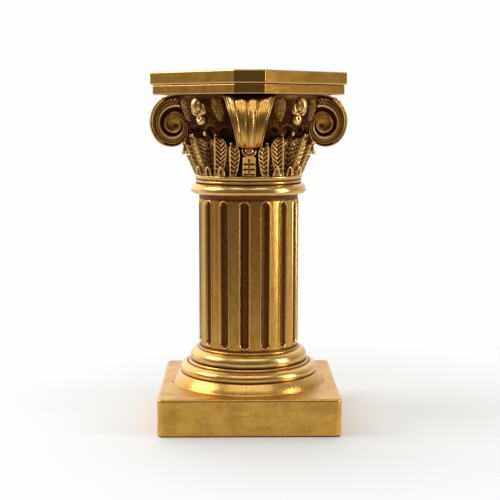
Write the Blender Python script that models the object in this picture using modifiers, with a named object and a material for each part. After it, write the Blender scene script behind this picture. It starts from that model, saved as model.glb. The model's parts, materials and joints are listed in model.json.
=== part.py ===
"""Column pedestal: a square plinth, a fluted column on round mouldings, a leafy capital with four corner
volutes, and a flat top plate with cut corners.

Metres, +Z up, origin at the bottom centre. The front is towards -Y. The capital and the top plate are turned
so that a corner of theirs faces the front, and their corners point along X and Y.
"""

import math

import bmesh
import bpy
from mathutils import Matrix, Vector

COLLECTION_NAME = "column_pedestal"
HELPER_COLLECTION_NAME = "helpers"

# Clearance between pieces that rest on each other
SEAT_GAP = 0.0003

# Square plinth
PLINTH_SIDE = 0.1521
PLINTH_HEIGHT = 0.032
PLINTH_CORNER_RADIUS = 0.003
PLINTH_EDGE = 0.0012

# Round base mouldings, bottom to top
FOOT_HEIGHT = 0.008
FOOT_RADIUS = 0.0665
FOOT_TOP_RADIUS = 0.0608
MIDDLE_RING_HEIGHT = 0.0089
MIDDLE_RING_RADIUS = 0.0601
FILLET_HEIGHT = 0.0014
FILLET_RADIUS = 0.0532
UPPER_RING_HEIGHT = 0.0111
UPPER_RING_RADIUS = 0.0508

# Shaft and its flutes
SHAFT_HEIGHT = 0.1349
SHAFT_RADIUS = 0.0428
SHAFT_COLLAR_HEIGHT = 0.0012
SHAFT_COLLAR_RADIUS = 0.0439
FLUTE_COUNT = 15
FLUTE_WIDTH = 0.0086
FLUTE_DEPTH = 0.0023
FLUTE_END_MARGIN = 0.0053
FLUTE_TURN = math.radians(-5.2)

# Neck rings above the shaft
NECK_RING_HEIGHT = 0.009
NECK_RING_RADIUS = 0.0498
NECK_GROOVE_HEIGHT = 0.0023
NECK_GROOVE_RADIUS = 0.0456
NECK_BAND_HEIGHT = 0.0051
NECK_BAND_RADIUS = 0.0464

# Capital: bell and lower slab
BELL_HEIGHT = 0.0676
BELL_FOOT_RADIUS = 0.0436
BELL_LIP_RADIUS = 0.061
SLAB_THICKNESS = 0.00795
SLAB_HALF_SIDE = 0.0663
SLAB_CORNER_REACH = 0.08155
SLAB_EDGE = 0.0009

# Corner volutes
VOLUTE_COUNT = 4
VOLUTE_EYE_REACH = 0.0635
VOLUTE_EYE_DROP = 0.0251
VOLUTE_RADIUS = 0.0201
VOLUTE_FOOT_WIDTH = 0.0188
VOLUTE_BODY_WIDTH = 0.029
VOLUTE_RIM_WIDTH = 0.041
VOLUTE_GROOVE_DEPTH = 0.0032
VOLUTE_RIB_HEIGHT = 0.0009
WEB_WIDTH = 0.0165
WEB_DROP = 0.0435

# Leaf ring
LEAF_FOOT_RADIUS = 0.0452
LEAF_TIP_RADIUS = 0.0562
LEAF_THICKNESS = 0.003
SHORT_LEAF_HEIGHT = 0.0255
TALL_LEAF_HEIGHT = 0.0328
BACK_LEAF_HEIGHT = 0.0345
DART_HEIGHT = 0.0078
DART_WIDTH = 0.006
LEAF_RIB_HEIGHT = 0.0009

# Stalk with a curled lip below each volute
STALK_WIDTH = 0.0108
STALK_HEIGHT = 0.0198
STALK_LIP_REACH = 0.0582
STALK_LIP_RADIUS = 0.0024

# Bud on each side of the capital and fruit cluster on each side of a volute
BUD_RADIUS = 0.0048
BUD_FOOT_REACH = 0.0548
BUD_TOP_REACH = 0.0622
BUD_FOOT_DROP = 0.0212
BUD_TOP_DROP = 0.0088
CLUSTER_REACH = 0.0598
CLUSTER_HEIGHT = 0.0215
CLUSTER_WIDTH = 0.0135
CLUSTER_DEPTH = 0.0095
CLUSTER_TURN = math.radians(26)

# Top plate
TOP_THICKNESS = 0.01085
TOP_HALF_SIDE = 0.06785
TOP_CORNER_REACH = 0.08364
TOP_EDGE = 0.0012

# Facets of the round work
COLUMN_STEPS = 45
BELL_STEPS = 24
RING_STEPS = 4
FLUTE_STEPS = 12
FLUTE_END_RINGS = 5
EDGE_SEGMENTS = 2
VOLUTE_STEPS_PER_TURN = 14
BUD_SIDES = 6
SMOOTH_ANGLE = math.radians(32)
MERGE = 0.00005

# Height of the widest place of a rounded moulding, as a share of its height
RING_CREST = 0.38

# Levels, worked out from the sizes above
COLUMN_BASE = PLINTH_HEIGHT + SEAT_GAP
FOOT_TOP = COLUMN_BASE + FOOT_HEIGHT
MIDDLE_RING_TOP = FOOT_TOP + MIDDLE_RING_HEIGHT
FILLET_TOP = MIDDLE_RING_TOP + FILLET_HEIGHT
SHAFT_BASE = FILLET_TOP + UPPER_RING_HEIGHT
SHAFT_TOP = SHAFT_BASE + SHAFT_HEIGHT
NECK_RING_TOP = SHAFT_TOP + NECK_RING_HEIGHT
NECK_GROOVE_TOP = NECK_RING_TOP + NECK_GROOVE_HEIGHT
COLUMN_TOP = NECK_GROOVE_TOP + NECK_BAND_HEIGHT
CAPITAL_BASE = COLUMN_TOP + SEAT_GAP
SLAB_BASE = CAPITAL_BASE + BELL_HEIGHT
SLAB_TOP = SLAB_BASE + SLAB_THICKNESS
TOP_BASE = SLAB_TOP + SEAT_GAP

# Volute coil: radius at each quarter turn, as shares of the volute's radius, from behind the top round to the
# outside, the bottom, the inside, and on into the eye
COIL_START = math.radians(-77.1)
COIL_TURNS = 1.7143
COIL_SHARES = (1.56, 1.265, 1.0, 0.94, 0.545, 0.455, 0.37, 0.29, 0.25)

# Across the side of the coil: share of the way from the inner to the outer edge, and share of the groove depth
COIL_SIDE = ((1.0, 0.0), (0.5, 0.3), (0.2, 1.0))

# Across the rim of the coil: share of the half width, and share of the rib height
COIL_RIM = ((1.0, 0.0), (0.5, -1.0), (0.0, 1.0), (-0.5, -1.0), (-1.0, 0.0))

# Leaves of one eighth of the ring, from a stalk to the middle of a side: place of the midrib, spread towards
# the stalk and spread away from it, in degrees, and which height it has
EIGHTH_LEAVES = (
    (18.6, 8.6, 4.6, SHORT_LEAF_HEIGHT),
    (35.0, 12.0, 6.0, TALL_LEAF_HEIGHT),
)
BACK_LEAF_SPREAD = 9.0
DART_PLACES = (27.0, 45.0, 63.0)

# Along a leaf: share of its height, share of its spread, and share of the way from foot to tip radius
LEAF_STATIONS = ((0.0, 0.82, 0.0), (0.45, 1.0, 0.5), (0.82, 0.8, 0.9), (1.0, 0.25, 1.0))


def clear_scene():
    for item in list(bpy.data.objects):
        bpy.data.objects.remove(item, do_unlink=True)


def make_collection(name):
    collection = bpy.data.collections.new(name)
    bpy.context.scene.collection.children.link(collection)
    return collection


def gold_material(name, colour, roughness):
    material = bpy.data.materials.new(name)
    material.use_nodes = True
    shader = material.node_tree.nodes["Principled BSDF"]
    shader.inputs["Base Color"].default_value = (*colour, 1.0)
    shader.inputs["Metallic"].default_value = 0.9
    shader.inputs["Roughness"].default_value = roughness
    return material


def add_object(name, mesh, collection, material=None):
    item = bpy.data.objects.new(name, mesh)
    collection.objects.link(item)
    if material is not None:
        mesh.materials.append(material)
    return item


def add_helper(name, mesh, collection):
    """A shape that is only joined to another one or cut out of it."""
    item = add_object(name, mesh, collection)
    item.hide_render = True
    item.display_type = "WIRE"
    return item


def mesh_from(bm, name):
    mesh = bpy.data.meshes.new(name)
    bm.to_mesh(mesh)
    bm.free()
    return mesh


def boolean(item, operation, collection):
    modifier = item.modifiers.new(operation.lower(), "BOOLEAN")
    modifier.operation = operation
    modifier.operand_type = "COLLECTION"
    modifier.collection = collection
    modifier.solver = "EXACT"


def smooth(item):
    item.data.shade_smooth()
    item.data.set_sharp_from_angle(angle=SMOOTH_ANGLE)


def turned_mesh(name, outline):
    """Open outline in the XZ plane, from the axis at the top down the outer side to the axis at the bottom."""
    bm = bmesh.new()
    corners = [bm.verts.new((radius, 0.0, level)) for radius, level in outline]
    for upper, lower in zip(corners, corners[1:]):
        bm.edges.new((upper, lower))
    return mesh_from(bm, name)


def turn(item, steps):
    screw = item.modifiers.new("turn", "SCREW")
    screw.axis = "Z"
    screw.angle = 2 * math.pi
    screw.steps = steps
    screw.render_steps = steps
    screw.use_merge_vertices = True
    screw.merge_threshold = MERGE
    screw.use_smooth_shade = True


def slab_mesh(name, half_side, low, high, corner, corner_segments, turned):
    """Square slab with its upright corners cut or rounded."""
    bm = bmesh.new()
    bmesh.ops.create_cube(bm, size=1.0)
    bmesh.ops.scale(bm, vec=(2 * half_side, 2 * half_side, high - low), verts=bm.verts)
    upright = [edge for edge in bm.edges if abs(edge.verts[0].co.z - edge.verts[1].co.z) > (high - low) / 2]
    bmesh.ops.bevel(bm, geom=upright, offset=corner, segments=corner_segments, profile=0.5, affect="EDGES")
    bmesh.ops.rotate(bm, matrix=Matrix.Rotation(turned, 3, "Z"), verts=bm.verts)
    bmesh.ops.translate(bm, vec=(0.0, 0.0, (low + high) / 2), verts=bm.verts)
    return mesh_from(bm, name)


def round_edges(item, width):
    bevel = item.modifiers.new("edges", "BEVEL")
    bevel.width = width
    bevel.segments = EDGE_SEGMENTS
    bevel.limit_method = "ANGLE"
    bevel.angle_limit = math.radians(50)


def loft_mesh(name, sections):
    """Closed solid through sections with the same number of points, each running the same way round."""
    bm = bmesh.new()
    rings = [[bm.verts.new(point) for point in section] for section in sections]
    count = len(rings[0])
    for lower, upper in zip(rings, rings[1:]):
        for index in range(count):
            after = (index + 1) % count
            bm.faces.new((lower[index], lower[after], upper[after], upper[index]))
    bm.faces.new(rings[0][::-1])
    bm.faces.new(rings[-1])
    bmesh.ops.recalc_face_normals(bm, faces=bm.faces)
    return mesh_from(bm, name)


def around(angle, radius, level):
    """Point at an angle from the front, positive towards +X."""
    return Vector((radius * math.sin(angle), -radius * math.cos(angle), level))


def spline(values, place):
    """Smooth curve through evenly spaced values, read at a place counted in steps and level past its ends."""
    last = len(values) - 1
    place = max(0.0, min(last, place))
    index = min(last - 1, math.floor(place))
    share = place - index
    before = values[max(0, index - 1)]
    start = values[index]
    end = values[index + 1]
    after = values[min(last, index + 2)]
    slope_in = (end - before) / 2
    slope_out = (after - start) / 2
    rise = end - start
    return (
        start
        + slope_in * share
        + (3 * rise - 2 * slope_in - slope_out) * share**2
        + (slope_in + slope_out - 2 * rise) * share**3
    )


def ring_outline(low, high, inner_low, outer, inner_high):
    """Rounded moulding, from its lower edge up to its upper edge."""
    crest = low + (high - low) * RING_CREST
    points = []
    for step in range(RING_STEPS + 1):
        angle = math.pi * (step / RING_STEPS - 0.5)
        inner, end = (inner_low, low) if angle < 0 else (inner_high, high)
        out = inner + (outer - inner) * math.cos(angle)
        points.append((out, crest + (end - crest) * abs(math.sin(angle))))
    return points


def foot_outline():
    """Flared foot: a rounded nose at the plinth, then a slope up to the first ring."""
    spread = FOOT_RADIUS - FOOT_TOP_RADIUS
    shares = ((0.86, 0.0), (1.0, 0.13), (0.93, 0.36), (0.64, 0.64), (0.27, 0.88), (0.0, 1.0))
    return [(FOOT_TOP_RADIUS + spread * out, COLUMN_BASE + FOOT_HEIGHT * rise) for out, rise in shares]


def column_outline():
    """Whole outline of the column, from the axis at the bottom up the outer side to the axis at the top."""
    middle_inner = (FILLET_RADIUS + MIDDLE_RING_RADIUS) / 2
    upper_inner = (FILLET_RADIUS + UPPER_RING_RADIUS) / 2 - (FILLET_RADIUS - UPPER_RING_RADIUS)
    upper_shoulder = (SHAFT_COLLAR_RADIUS + UPPER_RING_RADIUS) / 2
    neck_low = (SHAFT_RADIUS + NECK_RING_RADIUS) / 2
    neck_high = NECK_GROOVE_RADIUS
    outline = [(0.0, COLUMN_BASE)]
    outline += foot_outline()
    outline += ring_outline(FOOT_TOP, MIDDLE_RING_TOP, middle_inner, MIDDLE_RING_RADIUS, middle_inner)
    outline += [(FILLET_RADIUS, MIDDLE_RING_TOP), (FILLET_RADIUS, FILLET_TOP)]
    outline += ring_outline(FILLET_TOP, SHAFT_BASE, upper_inner, UPPER_RING_RADIUS, upper_shoulder)
    outline += [
        (SHAFT_COLLAR_RADIUS, SHAFT_BASE),
        (SHAFT_COLLAR_RADIUS, SHAFT_BASE + SHAFT_COLLAR_HEIGHT),
        (SHAFT_RADIUS, SHAFT_BASE + 2 * SHAFT_COLLAR_HEIGHT),
        (SHAFT_RADIUS, SHAFT_TOP),
    ]
    outline += ring_outline(SHAFT_TOP, NECK_RING_TOP, neck_low, NECK_RING_RADIUS, neck_high)
    outline += [
        (NECK_GROOVE_RADIUS, NECK_GROOVE_TOP),
        (NECK_BAND_RADIUS, NECK_GROOVE_TOP),
        (NECK_BAND_RADIUS, COLUMN_TOP),
        (0.0, COLUMN_TOP),
    ]
    return outline


def flute_mesh():
    """Round-ended bar at +X that cuts one flute."""
    chord_depth = FLUTE_DEPTH - (SHAFT_RADIUS - math.sqrt(SHAFT_RADIUS**2 - FLUTE_WIDTH**2 / 4))
    radius = (FLUTE_WIDTH**2 / 4 + chord_depth**2) / (2 * chord_depth)
    half_run = SHAFT_HEIGHT / 2 - FLUTE_END_MARGIN - FLUTE_WIDTH / 2
    bm = bmesh.new()
    bmesh.ops.create_uvsphere(bm, u_segments=FLUTE_STEPS, v_segments=FLUTE_END_RINGS, radius=radius)
    for vert in bm.verts:
        vert.co.z += math.copysign(half_run, vert.co.z)
    centre = (SHAFT_RADIUS - FLUTE_DEPTH + radius, 0.0, (SHAFT_BASE + SHAFT_TOP) / 2)
    bmesh.ops.translate(bm, vec=centre, verts=bm.verts)
    return mesh_from(bm, "flute")


def make_plinth(collection):
    material = gold_material("plinth_gold", (0.49, 0.29, 0.07), 0.42)
    mesh = slab_mesh("plinth", PLINTH_SIDE / 2, 0.0, PLINTH_HEIGHT, PLINTH_CORNER_RADIUS, 3, 0.0)
    plinth = add_object("plinth", mesh, collection, material)
    smooth(plinth)
    round_edges(plinth, PLINTH_EDGE)


def make_column(collection, helpers):
    material = gold_material("column_gold", (0.5, 0.3, 0.08), 0.33)
    column = add_object("column", turned_mesh("column", column_outline()[::-1]), collection, material)
    turn(column, COLUMN_STEPS)
    flutes = bpy.data.collections.new("flutes")
    helpers.children.link(flutes)
    shared = flute_mesh()
    for index in range(FLUTE_COUNT):
        flute = add_helper(f"flute_{index + 1:02d}", shared, flutes)
        flute.rotation_euler.z = FLUTE_TURN - math.pi / 2 + 2 * math.pi * index / FLUTE_COUNT
    column.rotation_euler.z = FLUTE_TURN - math.pi / 2
    boolean(column, "DIFFERENCE", flutes)


def bell_outline():
    """Upright below, then flaring to the lip below the slab."""
    flare = BELL_LIP_RADIUS - BELL_FOOT_RADIUS
    shares = ((0.0, 0.0), (0.02, 0.4), (0.17, 0.55), (0.43, 0.7), (0.75, 0.86), (1.0, 1.0))
    outline = [(0.0, CAPITAL_BASE)]
    outline += [(BELL_FOOT_RADIUS + flare * out, CAPITAL_BASE + BELL_HEIGHT * rise) for out, rise in shares]
    outline.append((0.0, SLAB_BASE))
    return outline


def coil_radius(angle):
    quarter = math.pi / 2
    return VOLUTE_RADIUS * spline(COIL_SHARES, (angle + quarter) / quarter)


def volute_rise(level):
    """Share of the way from the bottom of a volute up to the slab."""
    bottom = SLAB_BASE - VOLUTE_EYE_DROP - VOLUTE_RADIUS
    return max(0.0, min(1.0, (level - bottom) / (SLAB_BASE - bottom)))


def rim_half_width(level):
    """Half the width of the leaf on the rim, which flares towards the slab."""
    return (VOLUTE_FOOT_WIDTH + (VOLUTE_RIM_WIDTH - VOLUTE_FOOT_WIDTH) * volute_rise(level) ** 1.4) / 2


def body_half_width(level):
    """Half the thickness of the coil."""
    return (VOLUTE_FOOT_WIDTH + (VOLUTE_BODY_WIDTH - VOLUTE_FOOT_WIDTH) * volute_rise(level)) / 2


def coil_place(angle, radius):
    """Reach and level of a point of the volute, at an angle from the top round the outside."""
    reach = VOLUTE_EYE_REACH + radius * math.sin(angle)
    return reach, SLAB_BASE - VOLUTE_EYE_DROP + radius * math.cos(angle)


def side_point(angle, radius, side, depth):
    """Point on the side of the coil."""
    reach, level = coil_place(angle, radius)
    return (side * (body_half_width(level) - depth * VOLUTE_GROOVE_DEPTH), -reach, level)


def rim_point(angle, across, rise):
    """Point on the rim of the coil, across from -1 to 1."""
    reach, level = coil_place(angle, coil_radius(angle) + rise * VOLUTE_RIB_HEIGHT)
    return (across * rim_half_width(level), -reach, level)


def volute_mesh():
    """One volute: two coiled sides with a spiral groove, and the ribbed rim between them."""
    per_turn = VOLUTE_STEPS_PER_TURN
    columns = round(COIL_TURNS * per_turn)
    step = 2 * math.pi / per_turn
    bm = bmesh.new()
    sides = {}
    for side in (1, -1):
        grid = []
        for column in range(columns + 1):
            angle = COIL_START + column * step
            outer = coil_radius(angle)
            inner = coil_radius(angle + 2 * math.pi)
            line = []
            for share, depth in COIL_SIDE:
                if share == 1.0 and column >= per_turn:
                    line.append(grid[column - per_turn][-1])
                elif share == 1.0:
                    line.append(bm.verts.new(rim_point(angle, side, 0.0)))
                else:
                    radius = inner + (outer - inner) * share
                    line.append(bm.verts.new(side_point(angle, radius, side, depth)))
            line.append(bm.verts.new(side_point(angle, inner, side, 0.0)))
            grid.append(line)
        for before, after in zip(grid, grid[1:]):
            for index in range(len(COIL_SIDE)):
                bm.faces.new((before[index], after[index], after[index + 1], before[index + 1]))
        eye = bm.verts.new(side_point(0.0, 0.0, side, 0.0))
        border = [line[-1] for line in grid[columns - per_turn :]] + grid[columns][-2:0:-1]
        for start, end in zip(border, border[1:] + border[:1]):
            bm.faces.new((start, end, eye))
        sides[side] = grid
    rim = []
    for column in range(per_turn + 1):
        angle = COIL_START + column * step
        line = [sides[1][column][0]]
        for across, rise in COIL_RIM[1:-1]:
            line.append(bm.verts.new(rim_point(angle, across, rise)))
        line.append(sides[-1][column][0])
        rim.append(line)
    for before, after in zip(rim, rim[1:]):
        for index in range(len(COIL_RIM) - 1):
            bm.faces.new((before[index], before[index + 1], after[index + 1], after[index]))
    start_face = rim[0] + sides[-1][0][1:] + rim[-1][::-1][1:] + sides[1][0][1:-1][::-1]
    bm.faces.new(start_face)
    bmesh.ops.recalc_face_normals(bm, faces=bm.faces)
    return mesh_from(bm, "volute")


def web_mesh():
    """Web that carries a volute from the bell, and slants back below its eye."""
    root = BELL_FOOT_RADIUS - LEAF_THICKNESS / 2
    top = SLAB_BASE - SLAB_EDGE
    bottom = SLAB_BASE - WEB_DROP
    outline = (
        (root, top),
        (VOLUTE_EYE_REACH, top),
        (VOLUTE_EYE_REACH, SLAB_BASE - VOLUTE_EYE_DROP),
        (VOLUTE_EYE_REACH - VOLUTE_RADIUS / 2, bottom),
        (root, bottom),
    )
    sections = [[(half, -reach, level) for reach, level in outline] for half in (-WEB_WIDTH / 2, WEB_WIDTH / 2)]
    return loft_mesh("web", sections)


def leaf_section(middle, left, right, radius, back, level):
    """Section of a leaf between two angles: raised midrib and edges outside, and a flat back."""
    outside = (
        (middle - left, radius),
        (middle - left / 2, radius - LEAF_RIB_HEIGHT / 2),
        (middle, radius + LEAF_RIB_HEIGHT),
        (middle + right / 2, radius - LEAF_RIB_HEIGHT / 2),
        (middle + right, radius),
    )
    inside = ((middle + right, back), (middle - left, back))
    return [around(angle, reach, level) for angle, reach in outside + inside]


def leaf_mesh(name, middle, left, right, height):
    """Leaf that leans out from the bell. Its tip stands free and its foot is part of the bell."""
    sections = []
    for rise, spread, lean in LEAF_STATIONS:
        radius = LEAF_FOOT_RADIUS + (LEAF_TIP_RADIUS - LEAF_FOOT_RADIUS) * lean
        free_back = radius - LEAF_THICKNESS
        root_back = BELL_FOOT_RADIUS - LEAF_THICKNESS / 2
        back = root_back + (free_back - root_back) * rise**3
        spans = [math.radians(angle) for angle in (middle, left * spread, right * spread)]
        sections.append(leaf_section(*spans, radius, back, CAPITAL_BASE + height * rise))
    return loft_mesh(name, sections)


def dart_mesh(name, middle):
    """Small pointed leaf at the foot of the ring."""
    half_spread = DART_WIDTH / 2 / LEAF_FOOT_RADIUS
    front = LEAF_FOOT_RADIUS + LEAF_RIB_HEIGHT
    back = BELL_FOOT_RADIUS - LEAF_THICKNESS / 2
    lean = (LEAF_TIP_RADIUS - LEAF_FOOT_RADIUS) * DART_HEIGHT / SHORT_LEAF_HEIGHT
    angle = math.radians(middle)
    sections = []
    for rise, spread in ((0.0, 1.0), (1.0, 0.12)):
        level = CAPITAL_BASE + DART_HEIGHT * rise
        reach = front + 1.6 * lean * rise
        sections.append([
            around(angle - half_spread * spread, reach, level),
            around(angle, reach + LEAF_RIB_HEIGHT, level),
            around(angle + half_spread * spread, reach, level),
            around(angle + half_spread * spread, back, level),
            around(angle - half_spread * spread, back, level),
        ])
    return loft_mesh(name, sections)


def stalk_mesh():
    """Strap that leans out below a volute and ends in a rounded lip."""
    lip = STALK_LIP_REACH - STALK_LIP_RADIUS
    lean = lip - LEAF_FOOT_RADIUS
    path = (
        (LEAF_FOOT_RADIUS, 0.0),
        (LEAF_FOOT_RADIUS + lean * 0.42, 0.56),
        (LEAF_FOOT_RADIUS + lean * 0.68, 0.78),
        (STALK_LIP_REACH - STALK_LIP_RADIUS * 0.4, 0.8),
        (STALK_LIP_REACH, 0.91),
        (STALK_LIP_REACH - STALK_LIP_RADIUS * 0.4, 1.02),
    )
    back = BELL_FOOT_RADIUS - LEAF_THICKNESS / 2
    sections = []
    for across in (-1.0, -0.45, 0.45, 1.0):
        raised = LEAF_RIB_HEIGHT if abs(across) < 1.0 else 0.0
        side = across * STALK_WIDTH / 2
        outer = [Vector((side, -reach - raised, CAPITAL_BASE + STALK_HEIGHT * rise)) for reach, rise in path]
        top = Vector((side, -lip, CAPITAL_BASE + STALK_HEIGHT * 1.25))
        inner = Vector((side, -back, CAPITAL_BASE + STALK_HEIGHT * 1.35))
        foot = Vector((side, -back, CAPITAL_BASE))
        sections.append(outer + [top, inner, foot])
    return loft_mesh("stalk", sections)


def bud_mesh():
    """Bud on the middle of a side: a lower lobe, a waist and a larger upper lobe."""
    foot = Vector((BUD_FOOT_REACH, SLAB_BASE - BUD_FOOT_DROP))
    top = Vector((BUD_TOP_REACH, SLAB_BASE - BUD_TOP_DROP))
    along = (top - foot).normalized()
    outward = Vector((along.y, -along.x))
    run = (top - foot).length
    stations = ((-0.4, 0.45), (-0.08, 1.0), (0.22, 0.92), (0.48, 0.6), (0.82, 1.08), (1.12, 1.0), (1.4, 0.42))
    sections = []
    for share, girth in stations:
        centre = foot + along * run * share
        section = []
        for side in range(BUD_SIDES):
            angle = 2 * math.pi * side / BUD_SIDES
            out = centre + outward * BUD_RADIUS * girth * math.cos(angle)
            section.append(Vector((BUD_RADIUS * girth * math.sin(angle), -out.x, out.y)))
        sections.append(section)
    return loft_mesh("bud", sections)


def cluster_mesh():
    """Fruit cluster beside a volute: a full body that narrows downwards."""
    stations = ((0.0, 0.25), (0.3, 0.68), (0.68, 1.0), (1.0, 0.9))
    sections = []
    for rise, girth in stations:
        level = SLAB_BASE - CLUSTER_HEIGHT * (1.0 - rise)
        section = []
        for side in range(6):
            angle = 2 * math.pi * side / 6
            across = CLUSTER_WIDTH / 2 * girth * math.cos(angle)
            out = CLUSTER_DEPTH / 2 * girth * math.sin(angle)
            section.append(Vector((across, -(CLUSTER_REACH + out), level)))
        sections.append(section)
    return loft_mesh("cluster", sections)


def add_carving(helpers):
    """Every carved form of the capital that is joined to its bell."""
    carving = bpy.data.collections.new("carving")
    helpers.children.link(carving)
    slab_corner = 2 * SLAB_HALF_SIDE - math.sqrt(2) * SLAB_CORNER_REACH
    slab = add_helper(
        "slab",
        slab_mesh("slab", SLAB_HALF_SIDE, SLAB_BASE, SLAB_TOP, slab_corner, 1, math.pi / 4),
        carving,
    )
    round_edges(slab, SLAB_EDGE)
    volute = volute_mesh()
    web = web_mesh()
    stalk = stalk_mesh()
    bud = bud_mesh()
    cluster = cluster_mesh()
    for index in range(VOLUTE_COUNT):
        corner = 2 * math.pi * index / VOLUTE_COUNT
        side = corner + math.pi / VOLUTE_COUNT
        placed = ((volute, "volute", corner), (web, "web", corner), (stalk, "stalk", corner), (bud, "bud", side))
        for mesh, name, angle in placed:
            add_helper(f"{name}_{index + 1}", mesh, carving).rotation_euler.z = angle
        for hand in (-1, 1):
            item = add_helper(f"cluster_{index + 1}_{hand + 2}", cluster, carving)
            item.rotation_euler.z = corner + hand * CLUSTER_TURN
        leaves = []
        for place, near, far, height in EIGHTH_LEAVES:
            leaves.append((place, near, far, height))
            leaves.append((90.0 - place, far, near, height))
        leaves.append((45.0, BACK_LEAF_SPREAD, BACK_LEAF_SPREAD, BACK_LEAF_HEIGHT))
        for number, (place, left, right, height) in enumerate(leaves):
            name = f"leaf_{index + 1}_{number + 1}"
            leaf = add_helper(name, leaf_mesh(name, place, left, right, height), carving)
            leaf.rotation_euler.z = corner
        for number, place in enumerate(DART_PLACES):
            name = f"dart_{index + 1}_{number + 1}"
            add_helper(name, dart_mesh(name, place), carving).rotation_euler.z = corner
    return carving


def make_capital(collection, helpers):
    material = gold_material("capital_gold", (0.43, 0.25, 0.06), 0.4)
    capital = add_object("capital", turned_mesh("capital", bell_outline()[::-1]), collection, material)
    turn(capital, BELL_STEPS)
    boolean(capital, "UNION", add_carving(helpers))


def make_top_plate(collection):
    material = gold_material("top_gold", (0.36, 0.2, 0.05), 0.36)
    corner = 2 * TOP_HALF_SIDE - math.sqrt(2) * TOP_CORNER_REACH
    mesh = slab_mesh("top_plate", TOP_HALF_SIDE, TOP_BASE, TOP_BASE + TOP_THICKNESS, corner, 1, math.pi / 4)
    plate = add_object("top_plate", mesh, collection, material)
    round_edges(plate, TOP_EDGE)


def main():
    clear_scene()
    collection = make_collection(COLLECTION_NAME)
    helpers = make_collection(HELPER_COLLECTION_NAME)
    make_plinth(collection)
    make_column(collection, helpers)
    make_capital(collection, helpers)
    make_top_plate(collection)


main()
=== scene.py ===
"""Looks of a small column pedestal cast in resin and painted antique gold.

Every piece is built at its real place, in metres, with +Z up and the front towards -Y. A corner of the
capital faces the front. Angles round the axis start at the front and run towards +X.
"""

import json
import math

import bmesh
import bpy
import numpy as np
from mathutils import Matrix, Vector

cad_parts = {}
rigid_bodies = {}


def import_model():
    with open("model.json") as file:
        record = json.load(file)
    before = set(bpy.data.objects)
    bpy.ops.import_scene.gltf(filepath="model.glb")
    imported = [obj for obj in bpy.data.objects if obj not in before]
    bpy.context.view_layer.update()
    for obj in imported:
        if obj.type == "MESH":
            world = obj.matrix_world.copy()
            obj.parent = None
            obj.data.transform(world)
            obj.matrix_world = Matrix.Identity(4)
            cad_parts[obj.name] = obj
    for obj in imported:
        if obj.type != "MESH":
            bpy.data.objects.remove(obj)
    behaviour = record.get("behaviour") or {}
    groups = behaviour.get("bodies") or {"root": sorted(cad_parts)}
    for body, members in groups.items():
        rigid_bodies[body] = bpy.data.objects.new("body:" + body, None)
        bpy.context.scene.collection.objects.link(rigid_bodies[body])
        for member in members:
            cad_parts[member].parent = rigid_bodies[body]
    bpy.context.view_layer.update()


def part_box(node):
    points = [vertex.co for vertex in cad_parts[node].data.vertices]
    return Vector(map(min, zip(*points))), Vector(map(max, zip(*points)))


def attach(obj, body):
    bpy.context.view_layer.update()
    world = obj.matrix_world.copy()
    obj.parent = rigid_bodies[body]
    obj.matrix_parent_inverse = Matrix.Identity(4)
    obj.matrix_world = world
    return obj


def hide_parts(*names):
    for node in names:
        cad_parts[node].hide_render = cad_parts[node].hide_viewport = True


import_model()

bl_info = {
    "name": "Column Pedestal",
    "version": (1, 0, 0),
    "blender": (4, 5, 0),
    "location": "3D View > Sidebar > Pedestal",
    "description": "Builds a small antique gold column pedestal with a leafy capital",
    "category": "Add Mesh",
}

PLINTH_LOW, PLINTH_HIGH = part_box("plinth")
COLUMN_LOW, COLUMN_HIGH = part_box("column")
CAPITAL_LOW, CAPITAL_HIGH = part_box("capital")
TOP_LOW, TOP_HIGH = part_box("top_plate")

MM = 0.001
TAU = 2 * math.pi
CORNERS = 4
QUARTER = TAU / CORNERS

# Plinth and the two steps of the top: corner radii, rounded edges, and the half widths of the steps across
# their long sides and out to their cut corners
PLINTH_CORNER_RADIUS = 4.4 * MM
PLINTH_EDGE = 2.2 * MM
TOP_CORNER_RADIUS = 0.9 * MM
SLAB_EDGE = 0.9 * MM
SLAB_HALF_SIDE = 66.3 * MM
SLAB_CORNER_REACH = 81.55 * MM
TOP_EDGE = 1.2 * MM
TOP_HALF_SIDE = 67.85 * MM
TOP_CORNER_REACH = 83.64 * MM

# Column levels above its foot and radii
FOOT_TOP = COLUMN_LOW.z + 8.0 * MM
MIDDLE_RING_TOP = FOOT_TOP + 8.9 * MM
FILLET_TOP = MIDDLE_RING_TOP + 1.4 * MM
SHAFT_BASE = FILLET_TOP + 11.1 * MM
SHAFT_TOP = SHAFT_BASE + 134.9 * MM
NECK_RING_TOP = SHAFT_TOP + 9.0 * MM
NECK_GROOVE_TOP = NECK_RING_TOP + 2.3 * MM
RING_CREST = 0.38
FOOT_RADIUS = 66.5 * MM
FOOT_TOP_RADIUS = 60.8 * MM
MIDDLE_RING_RADIUS = 60.1 * MM
FILLET_RADIUS = 53.2 * MM
UPPER_RING_RADIUS = 50.8 * MM
COLLAR_RADIUS = 43.9 * MM
NECK_RING_RADIUS = 49.8 * MM
NECK_GROOVE_RADIUS = 45.6 * MM
NECK_BAND_RADIUS = 46.4 * MM
FLUTE_TURN = math.radians(-5.2)
FLUTE_END_MARGIN = 5.3 * MM
SEAM_ANGLE = math.radians(-4.2)
COLUMN_STEPS = 540

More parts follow.
